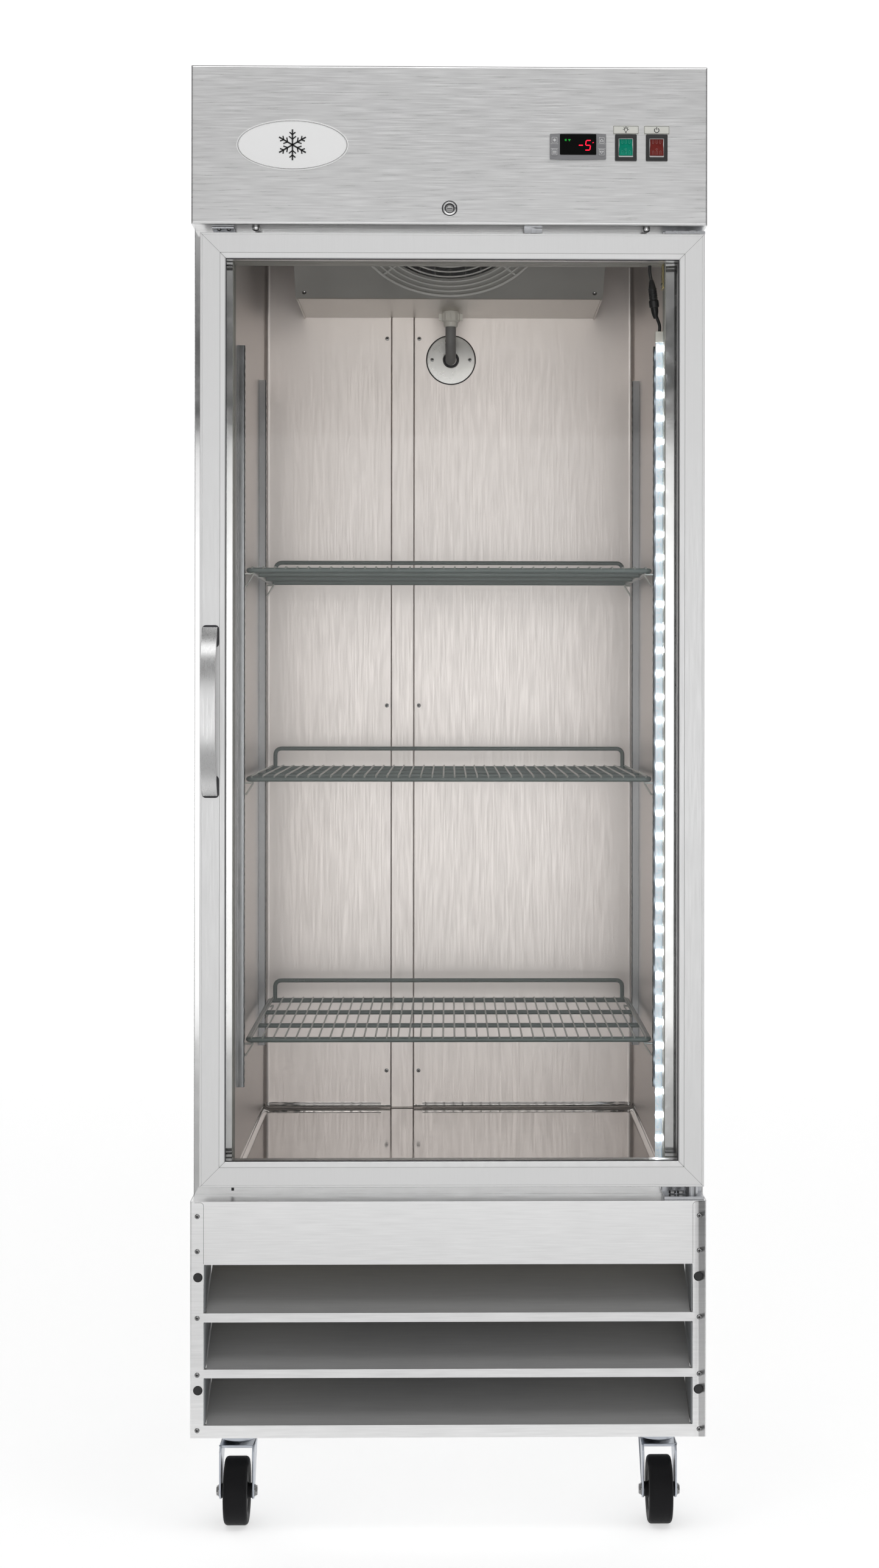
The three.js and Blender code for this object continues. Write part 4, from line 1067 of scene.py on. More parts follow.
def header_gap():
    """What hangs in the shadow gap over the door: clip, bolt heads, left plate."""
    under = HEADER_LOW.z - 0.1
    bm = bmesh.new()
    block(bm, 107, 133, 22, 34, under - 1.2, under)
    block(bm, 107, 133, 22, 23.2, under - 7.5, under)
    block(bm, 117, 124, 20.6, 22, under - 7.5, under - 1)
    piece(bm, "header_clip", "cabinet", "hinge_zinc", soft=0.3)
    bm = bmesh.new()
    dome = [(5.4, 0), (5.4, -1.2), (4.6, -3.6), (2.6, -5), (0.001, -5.4)]
    for x in (-278, 283):
        turned(bm, dome, (x, 27, under), "z", 20)
    piece(bm, "header_bolts", "cabinet", "lock_chrome")
    bm = bmesh.new()
    block(bm, -341, -309, 20, 50, under - 2.6, under - 0.4)
    block(bm, -341, -309, 49, 51, under - 9, under - 0.4)
    piece(bm, "header_plate", "cabinet", "hinge_zinc", soft=0.4)
    bm = bmesh.new()
    pan_head(bm, -331, 30, under - 2.6, 3.2, -1, "z")
    pan_head(bm, -317, 30, under - 2.6, 3.2, -1, "z")
    piece(bm, "header_plate_screws", "cabinet", "screw_steel")


# ---------------------------------------------------------------- door
DOOR_LOW = Vector((span("door_stile_left")[0].x, 0, span("door_rail_bottom")[0].z))
DOOR_HIGH = Vector((span("door_stile_right")[1].x, 50, span("door_rail_top")[1].z))
FRAME_WIDE = 36.5


def door_outline(inset):
    x0, x1 = DOOR_LOW.x + inset, DOOR_HIGH.x - inset
    z0, z1 = DOOR_LOW.z + inset, DOOR_HIGH.z - inset
    return [(x0, z0), (x1, z0), (x1, z1), (x0, z1)]


def door_details():
    """The glazing bead and spacer, and the dark feet under the handle."""
    bm = bmesh.new()
    frame_ring(bm, door_outline(FRAME_WIDE - 0.3), door_outline(FRAME_WIDE + 1.0), 2.6, 5.9, "d")
    piece(bm, "glazing_bead", "door", "gasket_rubber", soft=0.4)
    bm = bmesh.new()
    frame_ring(bm, door_outline(27), door_outline(FRAME_WIDE - 1.5), 10.1, 22.2, "d")
    piece(bm, "glass_spacer", "door", "screw_steel")
    bm = bmesh.new()
    low, high = span("door_handle")
    x = (low.x + high.x) / 2
    for z in (low.z + 14.2, high.z - 14.2):
        prism(bm, rounded(x + 0.7, z, 24.4, 31.6, 5.5), -1.6, -0.1, "d")
    piece(bm, "handle_feet", "door", "gasket_rubber", soft=0.5)


MITRE = 0.32
GROOVE_INSET = 28.2


def door_seams():
    """The mitred corners and the fine groove beside the glass, as shadow lines."""
    x0, x1, z0, z1 = DOOR_LOW.x, DOOR_HIGH.x, DOOR_LOW.z, DOOR_HIGH.z
    bm = bmesh.new()
    for x, z, side, up in ((x0, z0, 1, 1), (x1, z0, -1, 1), (x1, z1, -1, -1), (x0, z1, 1, -1)):
        start = (x + side * 1.2, z + up * 1.2)
        end = (x + side * FRAME_WIDE, z + up * FRAME_WIDE)
        stroke(bm, [start, end], MITRE, -0.06, 0.3)
    inner = GROOVE_INSET + 0.28
    frame_ring(bm, door_outline(GROOVE_INSET), door_outline(inner), -0.06, 0.3, "d")
    piece(bm, "door_seams", "door", "seam_line")


def handle():
    """A bowed flat bar that meets the stile at both ends."""
    low, high = span("door_handle")
    centre, half, proud = (low.z + high.z) / 2, (high.z - low.z) / 2, -low.y
    steps = 36
    outer, inner = [], []
    for i in range(steps + 1):
        t = -math.cos(math.pi * i / steps)
        fall = abs(t) ** 3.4
        outer.append((-proud * (1 - fall) - 0.3 * fall, centre + half * t))
        inner.append((-(proud - 9) * (1 - fall) - 0.3 * fall, centre + (half - 14) * t))
    bm = bmesh.new()
    prism(bm, outer + inner[::-1], low.x, high.x, "x")
    edges = []
    for edge in bm.edges:
        flat = abs(edge.verts[0].co.x - edge.verts[1].co.x) < 0.01
        if flat and min(v.co.y for v in edge.verts) < -0.5:
            edges.append(edge)
    round_edges(bm, edges, 2.6, 4)
    piece(
        bm, "handle_bow", "door", "handle_aluminium",
        replaces=["door_handle"],
    )


def hinge_details():
    """The lower hinge's bolts and sleeve, and the screws on top of the upper hinge."""
    low, high = span("hinge_bottom")
    bm = bmesh.new()
    for x in (322, 334):
        hex_head(bm, x, 30, high.z - 26, 9, 4)
    piece(bm, "hinge_bolts", "cabinet", "screw_steel", soft=0.2)
    bm = bmesh.new()
    sleeve = [(8.4, 0), (8.4, 2), (7.2, 3), (7.2, 15.5), (8.2, 16.2), (8.2, 18.5)]
    turned(bm, sleeve, (350, 25, low.z + 0.3), "z", 28)
    piece(bm, "hinge_sleeve", "cabinet", "lock_chrome")
    plate_top = DOOR_HIGH.z + 5.6
    bm = bmesh.new()
    pan_head(bm, 320, 18, plate_top, 3.4, 1, "z")
    pan_head(bm, 332, 38, plate_top, 3.4, 1, "z")
    piece(bm, "hinge_top_screws", "cabinet", "screw_steel")


# ---------------------------------------------------------------- inside the cabinet
ROOM = {"half": 313.5, "front": 91, "back": 715, "floor": 500, "ceiling": 2050}
SILL, LINTEL, FACE = 522, 1833, 55
COVE = 9


def liner_tub(name, material, is_floor):
    """The tub's walls, or its floor with the round bend at the rear, from one folded shape."""
    half = ROOM["half"]
    bm = bmesh.new()
    block(bm, -half, half, FACE + 10, ROOM["back"], ROOM["floor"], ROOM["ceiling"])
    rear = [e for e in bm.edges if all(v.co.y > FACE + 50 for v in e.verts)]
    low = [e for e in bm.edges if all(v.co.z < ROOM["floor"] + 1 for v in e.verts)]
    low = [e for e in low if e not in rear]
    bent = rear + [e for e in low if any(v.co.y > FACE + 50 for v in e.verts)]
    bmesh.ops.bevel(bm, geom=bent, offset=COVE, segments=5, profile=0.5, affect="EDGES")
    front = [f for f in bm.faces if all(v.co.y < FACE + 11 for v in f.verts)]
    bmesh.ops.delete(bm, geom=front, context="FACES")
    for vert in bm.verts:
        if vert.co.y < FACE + 11:
            vert.co.y = ROOM["front"]
    bmesh.ops.recalc_face_normals(bm, faces=bm.faces)
    bmesh.ops.reverse_faces(bm, faces=bm.faces)
    height = ROOM["floor"] + COVE + 0.5
    other = [f for f in bm.faces if (f.calc_center_median().z < height) != is_floor]
    bmesh.ops.delete(bm, geom=other, context="FACES")
    piece_open(bm, name, material)


def upright(half, low, high):
    """An upright rectangle about the middle, as corners in (x, z)."""
    return [(-half, low), (half, low), (half, high), (-half, high)]


def liner():
    """The tub with round corners, and the front flange round the opening."""
    liner_tub("liner_walls", "liner_steel", False)
    liner_tub("liner_floor_sheet", "liner_floor", True)
    low, high = span("inner_liner")
    half, sheet = ROOM["half"], 1.0
    bm = bmesh.new()
    outer = [(low.x, low.z), (high.x, low.z), (high.x, high.z), (low.x, high.z)]
    opening = upright(half, SILL, LINTEL)
    frame_ring(bm, outer, opening, FACE, FACE + sheet, "d")
    grown = upright(half + 1, SILL - 1, LINTEL + 1)
    frame_ring(bm, grown, opening, FACE + sheet, ROOM["front"], "d")
    room = upright(half, ROOM["floor"], ROOM["ceiling"])
    frame_ring(bm, room, opening, ROOM["front"], ROOM["front"] + sheet, "d")
    piece(bm, "liner_front", "cabinet", "face_steel", replaces=["inner_liner"])


def face_beads():
    """The opening's upright edges, folded a few degrees towards the room."""
    bm = bmesh.new()
    for side in (-1, 1):
        outline = [(side * 313.4, FACE + 0.2), (side * 313.4, FACE - 0.1)]
        outline += [(side * 325.5, FACE - 1.2), (side * 325.5, FACE + 0.2)]
        prism(bm, outline, SILL, LINTEL, "z")
    piece(bm, "face_beads", "cabinet", "face_steel")


def piece_open(bm, name, material):
    """An open sheet of the liner, given its thickness away from its front side."""
    obj = drawn_object(bm, name, material)
    wall = obj.modifiers.new("sheet", "SOLIDIFY")
    wall.thickness = 0.001
    wall.offset = -1
    level_shading(obj)
    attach(obj, "cabinet")
    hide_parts("inner_liner")


def breaker_strips():
    """Grey plastic strips round the opening, ribbed along their length."""
    section = [(0, 0), (1.6, 0), (1.6, 9), (1.0, 9.6), (1.0, 11), (1.6, 11.6), (1.6, 24)]
    section += [(1.0, 24.6), (1.0, 26), (1.6, 26.6), (1.6, 35.5), (0, 35.5)]
    half = ROOM["half"]
    bm = bmesh.new()
    rings = []
    for rise, depth in section:
        x, z0, z1 = half - rise, SILL + rise, LINTEL - rise
        rings.append([(-x, FACE + 0.4 + depth, z0), (x, FACE + 0.4 + depth, z0)])
        rings[-1] += [(x, FACE + 0.4 + depth, z1), (-x, FACE + 0.4 + depth, z1)]
    skin(bm, rings, loop=True)
    piece(bm, "breaker_strips", "cabinet", "breaker_plastic")


HOSE_X, HOSE_Z = 2.5, 1772


def seam_cover():
    """The folded cover down the rear wall's joint."""
    back = ROOM["back"]
    top = span("evaporator_cover")[0].z + 15
    bm = bmesh.new()
    outline = [(-115, back - 0.1), (-115, back - 1.1), (-99.6, back - 1.1), (-97, back - 4.2)]
    outline += [(-61.4, back - 4.2), (-58.8, back - 1.1), (-44.7, back - 1.1), (-44.7, back - 0.1)]
    prism(bm, outline, ROOM["floor"] + 2, top, "z")
    piece(bm, "seam_cover", "cabinet", "liner_steel")


def rear_screws():
    back = ROOM["back"]
    bm = bmesh.new()
    for z in (563, 1184, 1808):
        for x in (-105.8, -51.5):
            pan_head(bm, x, back - 1.1, z, 3.4)
    for side in (-1, 1):
        pan_head(bm, HOSE_X + side * 32, back - 2.0, HOSE_Z, 3.2)
    piece(bm, "rear_screws", "cabinet", "screw_steel")


def flat_ring(bm, x, z, outer, inner, low, high, steps):
    outlines = [oval(x, z, 2 * radius, 2 * radius, steps) for radius in (outer, inner)]
    frame_ring(bm, *outlines, low, high, "d")


def hose_plate():
    """The round plate where the hose enters the rear wall, and its seals."""
    back = ROOM["back"]
    bm = bmesh.new()
    profile = [(41, 0), (41, -1.2), (39.6, -2.0), (14, -2.0), (12.6, -3.2), (9.2, -3.2), (9.2, 0)]
    turned(bm, profile, (HOSE_X, back - 0.1, HOSE_Z), "d", 56, loop=True)
    piece(bm, "hose_plate", "cabinet", "plate_steel")
    bm = bmesh.new()
    flat_ring(bm, HOSE_X, HOSE_Z, 42.4, 40.8, back - 1.6, back - 0.2, 56)
    flat_ring(bm, HOSE_X, HOSE_Z, 13.0, 9.4, back - 3.6, back - 3.2, 32)
    piece(bm, "hose_plate_seal", "cabinet", "gasket_rubber", soft=0.1)


SLOT_PITCH = 12.7


def pilasters():
    """Slotted channel standards, each with a bent wire clip under every shelf."""
    for row in ("front", "rear"):
        for label, side in (("left", -1), ("right", 1)):
            node = f"pilaster_{row}_{label}"
            low, high = span(node)
            depth = (low.y + high.y) / 2
            wall = side * (ROOM["half"] - 0.3)
            face = side * 301.7
            bm = bmesh.new()
            for d0, d1 in ((low.y, low.y + 1.2), (high.y - 1.2, high.y)):
                block(bm, min(wall, face), max(wall, face), d0, d1, low.z, high.z)
            inner = face + side * 1.2
            x0, x1 = min(face, inner), max(face, inner)
            for d0, d1 in ((low.y, depth - 2.2), (depth + 2.2, high.y)):
                block(bm, x0, x1, d0, d1, low.z, high.z)
            slots = int((high.z - low.z) / SLOT_PITCH)
            for i in range(slots + 1):
                z = low.z + i * SLOT_PITCH
                block(bm, x0, x1, depth - 2.3, depth + 2.3, z, min(z + 6.6, high.z))
            piece(bm, f"{node}_rail", "cabinet", "pilaster_chrome", replaces=[node])
            shelf_clips(node, side, face, depth)


# A shelf clip's wire: how far out of the pilaster's face, and how far over the shelf's seat.
CLIP_WIRE = ((-2, -14), (1.5, -19), (12, -2.4), (12.5, 0), (9, -1.3), (-2, -1.3))


def shelf_clips(node, side, face, depth):
    """Two bent wires and a rest under each shelf, on one pilaster."""
    bm = bmesh.new()
    for label in ("lower", "middle", "upper"):
        seat = span(f"shelf_{label}")[0].z - 0.4
        for edge in (-3.4, 3.4):
            wire = [(face - side * out, depth + edge, seat + up) for out, up in CLIP_WIRE]
            tube(bm, wire, 1.15, 8)
        x0, x1 = sorted((face - side * 12, face - side * 1))
        block(bm, x0, x1, depth - 4, depth + 4, seat - 1.5, seat - 0.2)
    piece(bm, f"{node}_clips", "cabinet", "wire_steel")


WIRE_COUNT = 36


def shelves():
    for label in ("lower", "middle", "upper"):
        node = f"shelf_{label}"
        low, high = span(node)
        level = low.z + 4
        half, front, rear = high.x - 4, low.y + 4, high.y - 4
        bm = bmesh.new()
        bend = 7
        outline = rounded(0, (front + rear) / 2, 2 * half, rear - front, bend, 4)
        tube(bm, [(x, d, level) for x, d in outline], 4, 14, loop=True)
        for third in (1, 2):
            depth = front + (rear - front) * third / 3
            tube(bm, [(-half, depth, level), (half, depth, level)], 3.6, 12)
        piece(bm, f"{node}_frame", "cabinet", "shelf_epoxy", replaces=[node])
        bm = bmesh.new()
        reach = half - 5
        for i in range(WIRE_COUNT):
            x = -reach + 2 * reach * i / (WIRE_COUNT - 1)
            top, fold = level + 5.2, 3.0
            wire = [(x, front - 2.6, level + 1.6), (x, front - 1.6, level + 4.2)]
            wire.append((x, front + fold, top))
            wire += [(x, rear - fold, top), (x, rear + 1.6, level + 4.2)]
            wire.append((x, rear + 2.6, level + 1.6))
            tube(bm, wire, 1.3, 8)
        piece(bm, f"{node}_wires", "cabinet", "shelf_wire")
        bm = bmesh.new()
        post, top = half - 8, high.z - 3.4
        corner = 10
        path = [(-post, level)]
        path += arc((-post + corner, top - corner), corner, 180, 90, 6)
        path += arc((post - corner, top - corner), corner, 90, 0, 6) + [(post, level)]
        tube(bm, [(x, rear, z) for x, z in path], 3.4, 12)
        piece(bm, f"{node}_guard", "cabinet", "shelf_epoxy")


def led_strip():
    """A flat strip in a shallow clear channel, with a bright chip every few centimetres."""
    low, high = span("led_bar")
    bm = bmesh.new()
    back = high.x
    outline = [(back, 80), (back, 95), (back - 1.2, 95)]
    outline += [(back - 2.4, 93.4), (back - 2.4, 81.6), (back - 1.2, 80)]
    prism(bm, outline, low.z, high.z - 1, "z")
    piece(bm, "led_channel", "cabinet", "light_diffuser", replaces=["led_bar"])
    left, right = low.x + 0.8, low.x + 7.6
    bm = bmesh.new()
    block(bm, left, right, 80.8, 82.4, low.z + 2, high.z - 16)
    block(bm, right - 2, back - 1, 82, 91, low.z + 2, high.z - 16)
    piece(bm, "led_tape", "cabinet", "led_tape", soft=0.4)
    bm = bmesh.new()
    for z0, z1 in ((high.z - 16, high.z), (low.z, low.z + 4)):
        block(bm, low.x, back - 0.4, 80.4, 94, z0, z1)
    piece(bm, "led_end_caps", "cabinet", "white_plastic", soft=1.0)
    bm = bmesh.new()
    z, middle_x = TOP_CHIP, (left + right) / 2
    chip = [(2.9, 80.9), (2.9, 80.4), (1.8, 79.6), (0.001, 79.3)]
    while z > low.z + 8:
        turned(bm, chip, (middle_x, 0, z), "d", 16)
        z -= LED_PITCH
    piece(bm, "led_chips", "cabinet", "led_chip")


def lead_bracket():
    """The small plated angle beside the lead's upper end."""
    bm = bmesh.new()
    block(bm, 309.6, 310.8, 62, 88, 1797, 1832)
    block(bm, 309.6, 313, 62, 88, 1797, 1798.2)
    piece(bm, "lead_bracket", "cabinet", "yellow_zinc", soft=0.3)
    bm = bmesh.new()
    pan_head(bm, 309.6, 74, 1803, 2.8, -1, "x")
    piece(bm, "lead_bracket_screw", "cabinet", "screw_steel")


COIL_SLOPE = math.radians(38)
COIL_EDGE = (497, 1845)
COIL_FAN_ALONG = 160


def slope_place(along, offset):
    """The frame of the housing's slanted face: x, up the slope, and out of it."""
    c, s = math.cos(COIL_SLOPE), math.sin(COIL_SLOPE)
    up, out = Vector((0, -c, s)), Vector((0, -s, -c))
    origin = Vector((0, *COIL_EDGE)) + up * along + out * offset
    matrix = Matrix((Vector((1, 0, 0)), up, out)).transposed().to_4x4()
    return Matrix.Translation(origin) @ matrix


GUARD_RADIUS = 150
GUARD_RINGS = 12
GUARD_RING_GAP = 10.5
GUARD_STAND = 5


def fan_guard():
    """A round wire guard on four spokes, with the motor's boss in the middle."""
    bm = bmesh.new()
    stand = GUARD_STAND
    for i in range(GUARD_RINGS):
        across = 2 * (GUARD_RADIUS - i * GUARD_RING_GAP)
        circle = [(x, y, stand) for x, y in oval(0, 0, across, across, 72)]
        tube(bm, circle, 2.0 if i == 0 else 1.3, 8, loop=True)
    reach = (
        (20, stand - 1.6), (GUARD_RADIUS - 6, stand - 1.6),
        (GUARD_RADIUS, stand - 2.5), (GUARD_RADIUS + 1, 0.2),
    )
    for k in range(4):
        a = math.pi / 4 + math.pi / 2 * k
        spoke = [(radius * math.cos(a), radius * math.sin(a), up) for radius, up in reach]
        tube(bm, spoke, 1.7, 8)
    boss = [(24, stand - 2), (24, stand + 1), (20, stand + 2), (0.001, stand + 2)]
    turned(bm, boss, (0, 0, 0), "z", 32)
    turned(bm, [(13, -25), (13, stand - 2)], (0, 0, 0), "z", 20)
    bmesh.ops.transform(bm, matrix=slope_place(COIL_FAN_ALONG, 0), verts=bm.verts)
    piece(bm, "fan_guard_wires", "cabinet", "guard_wire", replaces=["fan_guard"])


def housing_screws():
    bm = bmesh.new()
    half = span("evaporator_cover")[1].x
    for x in (-half + 14, half - 14):
        for along in (12, 120, 230):
            verts = turned(bm, [(3.6, 0), (3.6, 1), (2.4, 2.2), (0.001, 2.4)], (x, 0, 0), "z", 14)
            bmesh.ops.transform(bm, matrix=slope_place(along, 0), verts=verts)
    piece(bm, "housing_screws", "cabinet", "screw_steel")


def drip_pan():
    """The bright tray that closes the housing's underside, with a rolled front lip."""
    low, high = span("evaporator_cover")
    front, back, half = COIL_EDGE[0] + 1, high.y - 1, high.x - 1
    under = low.z
    bm = bmesh.new()
    lip = [(0, 3), (-1.4, 1), (0, -1.0), (2, -1.6)]
    outline = [(front + d, under + z) for d, z in lip] + [(back, under - 1.6), (back, under - 0.2)]
    outline += [(front + 3, under - 0.2), (front + 1, under + 0.6)]
    prism(bm, outline, -half, half, "x")
    for side in (-1, 1):
        x0, x1 = sorted((side * (half - 1), side * (half - 3)))
        block(bm, x0, x1, front + 3, back, under - 3.6, under - 1.5)
    piece(bm, "drip_pan", "cabinet", "pan_steel", soft=0.3)


def drain_details():
    """The ribbed nut under the tray, with its two grips."""
    low, high = span("drain_fitting")
    x, d = (low.x + high.x) / 2, (low.y + high.y) / 2
    bm = bmesh.new()
    profile = [(11, 0), (11.6, 2), (11.6, 7), (13.4, 8.5), (15, 10), (15, 22), (14, 24.5), (14, 26.6)]
    turned(bm, profile, (x, d, low.z), "z", 36)
    for k in range(12):
        a = 2 * math.pi * k / 12
        px, pd = x + 15 * math.cos(a), d + 15 * math.sin(a)
        turned(bm, [(1.3, 10.5), (1.3, 21.5)], (px, pd, low.z), "z", 8)
    for side in (-1, 1):
        x0, x1 = sorted((x + side * 13, x + side * 20))
        block(bm, x0, x1, d - 2.2, d + 2.2, low.z + 11, low.z + 22)
    piece(bm, "drain_nut", "cabinet", "white_plastic", replaces=["drain_fitting"], soft=0.3)


def evaporator_fan():
    """Five swept blades on a round hub, in place of the part's flat ones."""
    fan_blades("evaporator_fan", slope_place(COIL_FAN_ALONG, -30), 112)


def condenser_fan():
    place = Matrix.Translation((0, 161, 290)) @ Matrix.Rotation(-math.pi / 2, 4, "X")
    fan_blades("condenser_fan", place, 108)


def fan_blades(body, place, radius):
    bm = bmesh.new()
    hub = [(0.001, 0.2), (24, 0.2), (29, 3), (30, 8), (30, 24), (27, 24), (27, 6), (0.001, 4)]
    turned(bm, hub, (0, 0, 0), "z", 36)
    blades, rows, cols = 5, 7, 7
    for blade in range(blades):
        start = 2 * math.pi * blade / blades
        sides = []
        for shift in (-0.8, 0.8):
            grid = []
            for i in range(rows):
                r = 28 + (radius - 29) * i / (rows - 1)
                sweep = 0.30 + 0.12 * math.sin(math.pi * i / (rows - 1))
                row = []
                for k in range(cols):
                    t = -1 + 2 * k / (cols - 1)
                    a = start + 0.10 * i / (rows - 1)
                    a += sweep * t * (1 - 0.25 * i / (rows - 1))
                    w = 12 + shift + 9.5 * t - 2.5 * (1 - t * t)
                    row.append((r * math.cos(a), r * math.sin(a), w))
                grid.append(row)
            sides.append(grid)
        lower, upper = sides
        rings = [low_row + high_row[::-1] for low_row, high_row in zip(lower, upper)]
        skin(bm, rings)
    bmesh.ops.transform(bm, matrix=place, verts=bm.verts)
    piece(bm, f"{body}_blades", body, "fan_plastic", replaces=[body])


# ---------------------------------------------------------------- base
def louvre_details():
    """The fascia's side screws and its plugged holes."""
    bm = bmesh.new()
    for side in (-1, 1):
        for z in (157, 236, 317, 412, 462):
            pan_head(bm, side * 358, -0.1, z, 3.6)
    piece(bm, "fascia_screws", "cabinet", "screw_steel")
    bm = bmesh.new()
    for side in (-1, 1):
        for z in (214, 375):
            profile = [(6.7, 0), (6.7, -0.5), (6.0, -0.9), (5.4, -0.3), (0.001, -0.2)]
            turned(bm, profile, (side * 357, -0.1, z), "d", 28)
    piece(bm, "fascia_plugs", "cabinet", "black_plastic")
    fascia_shadow_lines()


def fascia_shadow_lines():
    """Painted shadow lines along the edges of the end tabs, and the joints beside the sill."""
    top = span("louvre_grille")[1].z - 1.4
    bm = bmesh.new()
    for side in (-1, 1):
        edge, bend = side * 349, 5
        line = [(side * 362, top)]
        for i in range(7):
            a = math.pi / 2 * i / 6
            across = edge + side * bend * (1 - math.sin(a))
            line.append((across, top - bend * (1 - math.cos(a))))
        line.append((edge, 394))
        # A dark line painted along each tab's edge as the shadow of its step.
        stroke(bm, line, 0.5, -0.06, 0.4)
    piece(bm, "fascia_shadow_lines", "cabinet", "seam_line")
    bm = bmesh.new()
    for x in (-312.2, 310.4):
        block(bm, x - 2, x + 2, FACE - 0.15, FACE + 0.6, 488, 523)
    piece(bm, "sill_joints", "cabinet", "gasket_rubber", soft=0.1)


FLANGE_BACK = FACE - 0.3
FASCIA_OPENINGS = ((164, 231.5), (243.8, 311), (324, 393))
OPENING_HALF = 349
BLADE_HALF = 345


def fascia_front():
    """The folded fascia round its three openings."""
    low, high = span("louvre_grille")
    opening_half = OPENING_HALF
    bm = bmesh.new()
    edges = [low.z] + [z for pair in FASCIA_OPENINGS for z in pair] + [high.z]
    for z0, z1 in zip(edges[::2], edges[1::2]):
        block(bm, -opening_half, opening_half, 0, 1, z0, z1)
        for z, away in ((z0, 1), (z1, -1)):
            if z not in (low.z, high.z):
                a, b = sorted((z, z + away))
                block(bm, -opening_half, opening_half, 0.5, 9, a, b)
    for side in (-1, 1):
        x0, x1 = sorted((side * opening_half, side * (HALF - 2.4)))
        block(bm, x0, x1, 0, 1, low.z, high.z)
        bend = arc((HALF - 2.4, 2.4), 2.4, -90, 0, 6)
        bend += [(HALF, FLANGE_BACK), (HALF - 1, FLANGE_BACK)]
        bend += arc((HALF - 2.4, 2.4), 1.4, 0, -90, 6)
        prism(bm, [(side * x, depth) for x, depth in bend], low.z, high.z, "z")
    for z0, z1 in ((low.z, low.z + 1), (high.z - 1, high.z)):
        block(bm, -HALF + 0.5, HALF - 0.5, 0.5, FLANGE_BACK, z0, z1)
    piece(bm, "fascia_front", "cabinet", "grille_steel", replaces=["louvre_grille"])


def fascia_blades():
    """The slanting blades behind the openings, and dark strips at their ends, painted as the shade
    beside the blades.
    """
    section = ((1, -1.2), (1, 0.2), (3, 1), (100, 50), (100, 48.6), (3, -0.6))
    bm = bmesh.new()
    for low, _ in FASCIA_OPENINGS:
        prism(bm, [(depth, low + up) for depth, up in section], -BLADE_HALF, BLADE_HALF, "x")
    piece(
        bm, "fascia_blades", "cabinet", "blade_steel",
        replaces=["louvre_grille"],
    )
    bm = bmesh.new()
    # Dark strips at each opening's ends, painted shade beside the blade ends.
    for side in (-1, 1):
        x0, x1 = sorted((side * (OPENING_HALF - 2.4), side * (OPENING_HALF - 0.4)))
        for z0, z1 in FASCIA_OPENINGS:
            block(bm, x0, x1, 1.2, 96, z0 + 1.2, z1 - 1.2)
    piece(bm, "fascia_end_shade", "cabinet", "condenser_metal", soft=0.2)


def casters():
    for label in ("front_left", "front_right", "rear_left", "rear_right"):
        caster_plate(label)
        caster_fork(label)
        caster_wheel(label)


def caster_plate(label):
    node = f"caster_plate_{label}"
    low, high = span(node)
    x, d = (low.x + high.x) / 2, (low.y + high.y) / 2
    bm = bmesh.new()
    prism(bm, rounded(x, d, high.x - low.x, high.y - low.y, 6), high.z - 3.5, high.z, "z")
    for sx in (-1, 1):
        for sd in (-1, 1):
            hex_head(bm, x + sx * 34, d + sd * 31, high.z - 3.4, 12, -6)
    piece(bm, f"{node}_top", "cabinet", "caster_zinc", replaces=[node], soft=0.5)
    bm = bmesh.new()
    profile = [(19, 141.9), (25, 138), (26.5, 134), (26.5, 129.5), (24.5, 129)]
    profile += [(24.5, 127.6), (27, 127), (27, 119), (21, 115)]
    profile += [(9, 114.4), (9, 108.9), (8, 105.2), (0.001, 105)]
    turned(bm, profile, (x, d, 0), "z", 36)
    piece(bm, f"{node}_race", "cabinet", "caster_zinc")


def caster_fork(label):
    body = f"caster_fork_{label}"
    low, high = span(body)
    wheel_low, wheel_high = span(f"caster_wheel_{label}")
    x, axle = (low.x + high.x) / 2, (wheel_low.y + wheel_high.y) / 2
    swivel = axle + 30
    hub = (wheel_low.z + wheel_high.z) / 2
    bm = bmesh.new()
    cheek = arc((axle, hub), 12, 165, 345, 12)
    cheek += [(swivel + 22, 100), (swivel + 26, 106), (swivel + 26, 114)]
    cheek += [(axle - 2, 114), (axle - 9, 106)]
    for side in (-1, 1):
        x0, x1 = sorted((x + side * 22, x + side * 25.4))
        prism(bm, cheek, x0, x1, "x")
    block(bm, x - 25.4, x + 25.4, axle - 2, swivel + 26, 110.4, 114)
    piece(bm, f"{body}_cheeks", body, "caster_zinc", replaces=[body], soft=1.0)
    bm = bmesh.new()
    for side in (-1, 1):
        hex_head(bm, x + side * 25.2, axle, hub, 13, side * 4.6, "x")
        start, end = sorted((side * 25.2, side * 27))
        turned(bm, [(8.6, start), (8.6, end)], (x, axle, hub), "x", 24)
    turned(bm, [(4.9, -25), (4.9, 25)], (x, axle, hub), "x", 16)
    piece(bm, f"{body}_axle", body, "screw_steel", soft=0.3)


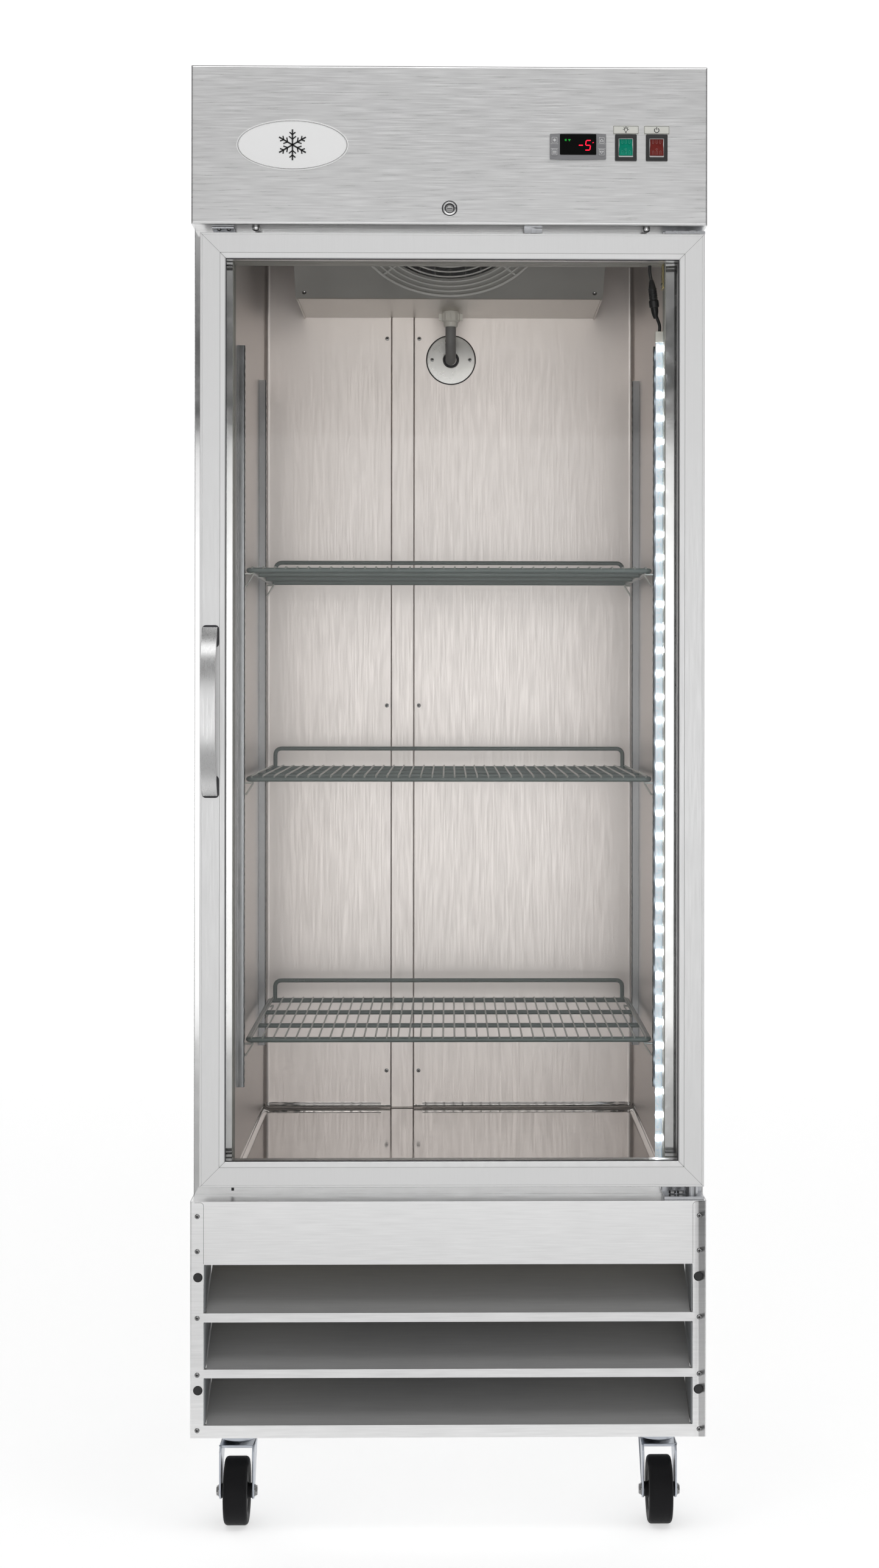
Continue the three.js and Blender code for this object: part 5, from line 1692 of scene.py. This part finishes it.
def caster_wheel(label):
    body = f"caster_wheel_{label}"
    low, high = span(body)
    x, d, z = (low + high) / 2
    radius = (high.z - low.z) / 2
    half, crown = 17.5, 5.5
    side = [(5.4, 21.5), (10.5, 21.5), (11, 17), (13, 15.4), (29, 14.6)]
    side += [(32, 16.6), (radius - 9, 17.4)]
    shoulder = []
    for i in range(7):
        a = math.pi / 2 * i / 6
        shoulder.append((radius - crown + crown * math.sin(a), half - crown + crown * math.cos(a)))
    profile = side + shoulder
    profile += [(r, -w) for r, w in reversed(profile)]
    bm = bmesh.new()
    turned(bm, profile, (x, d, z), "x", 64, loop=True)
    piece(bm, f"{body}_tread", body, "caster_rubber", replaces=[body])
    bm = bmesh.new()
    for s in (-1, 1):
        a, b = sorted((s * 17, s * 21.8))
        turned(bm, [(10.2, a), (10.2, b)], (x, d, z), "x", 28)
    piece(bm, f"{body}_bearings", body, "caster_zinc", soft=0.5)


# ---------------------------------------------------------------- outside faces
def rear_rivets():
    """Rivets down both edges of the back sheet."""
    depth = span("back_panel")[1].y
    dome = [(3.2, 0), (3.0, 0.7), (1.6, 1.4), (0.001, 1.5)]
    bm = bmesh.new()
    for side in (-1, 1):
        for i in range(9):
            turned(bm, dome, (side * 356, depth, 470 + 199 * i), "d", 14)
    piece(bm, "rear_rivets", "cabinet", "screw_steel")


def finish_nodes():
    """Puts a worked material on every CAD node that still shows."""
    slots = {row["node"]: row["material_slot"] for row in frame["record"]["subparts"]}
    for node, obj in frame["nodes"].items():
        obj.data.materials.clear()
        obj.data.materials.append(FINISHES[slots[node]])


def main():
    make_materials()
    make_camera()
    make_studio()
    make_stage()
    side_screens()
    finish_nodes()
    led_lead()
    drain_hose()
    header_skin()
    badge()
    label_plates()
    controller()
    keys()
    switches()
    lock_ring()
    lock_plug()
    header_gap()
    door_details()
    door_seams()
    handle()
    hinge_details()
    liner()
    face_beads()
    breaker_strips()
    seam_cover()
    rear_screws()
    hose_plate()
    pilasters()
    shelves()
    led_strip()
    lead_bracket()
    fan_guard()
    housing_screws()
    drip_pan()
    drain_details()
    evaporator_fan()
    condenser_fan()
    fascia_front()
    fascia_blades()
    louvre_details()
    casters()
    rear_rivets()
    paint_recess_shade("cabinet")


main()
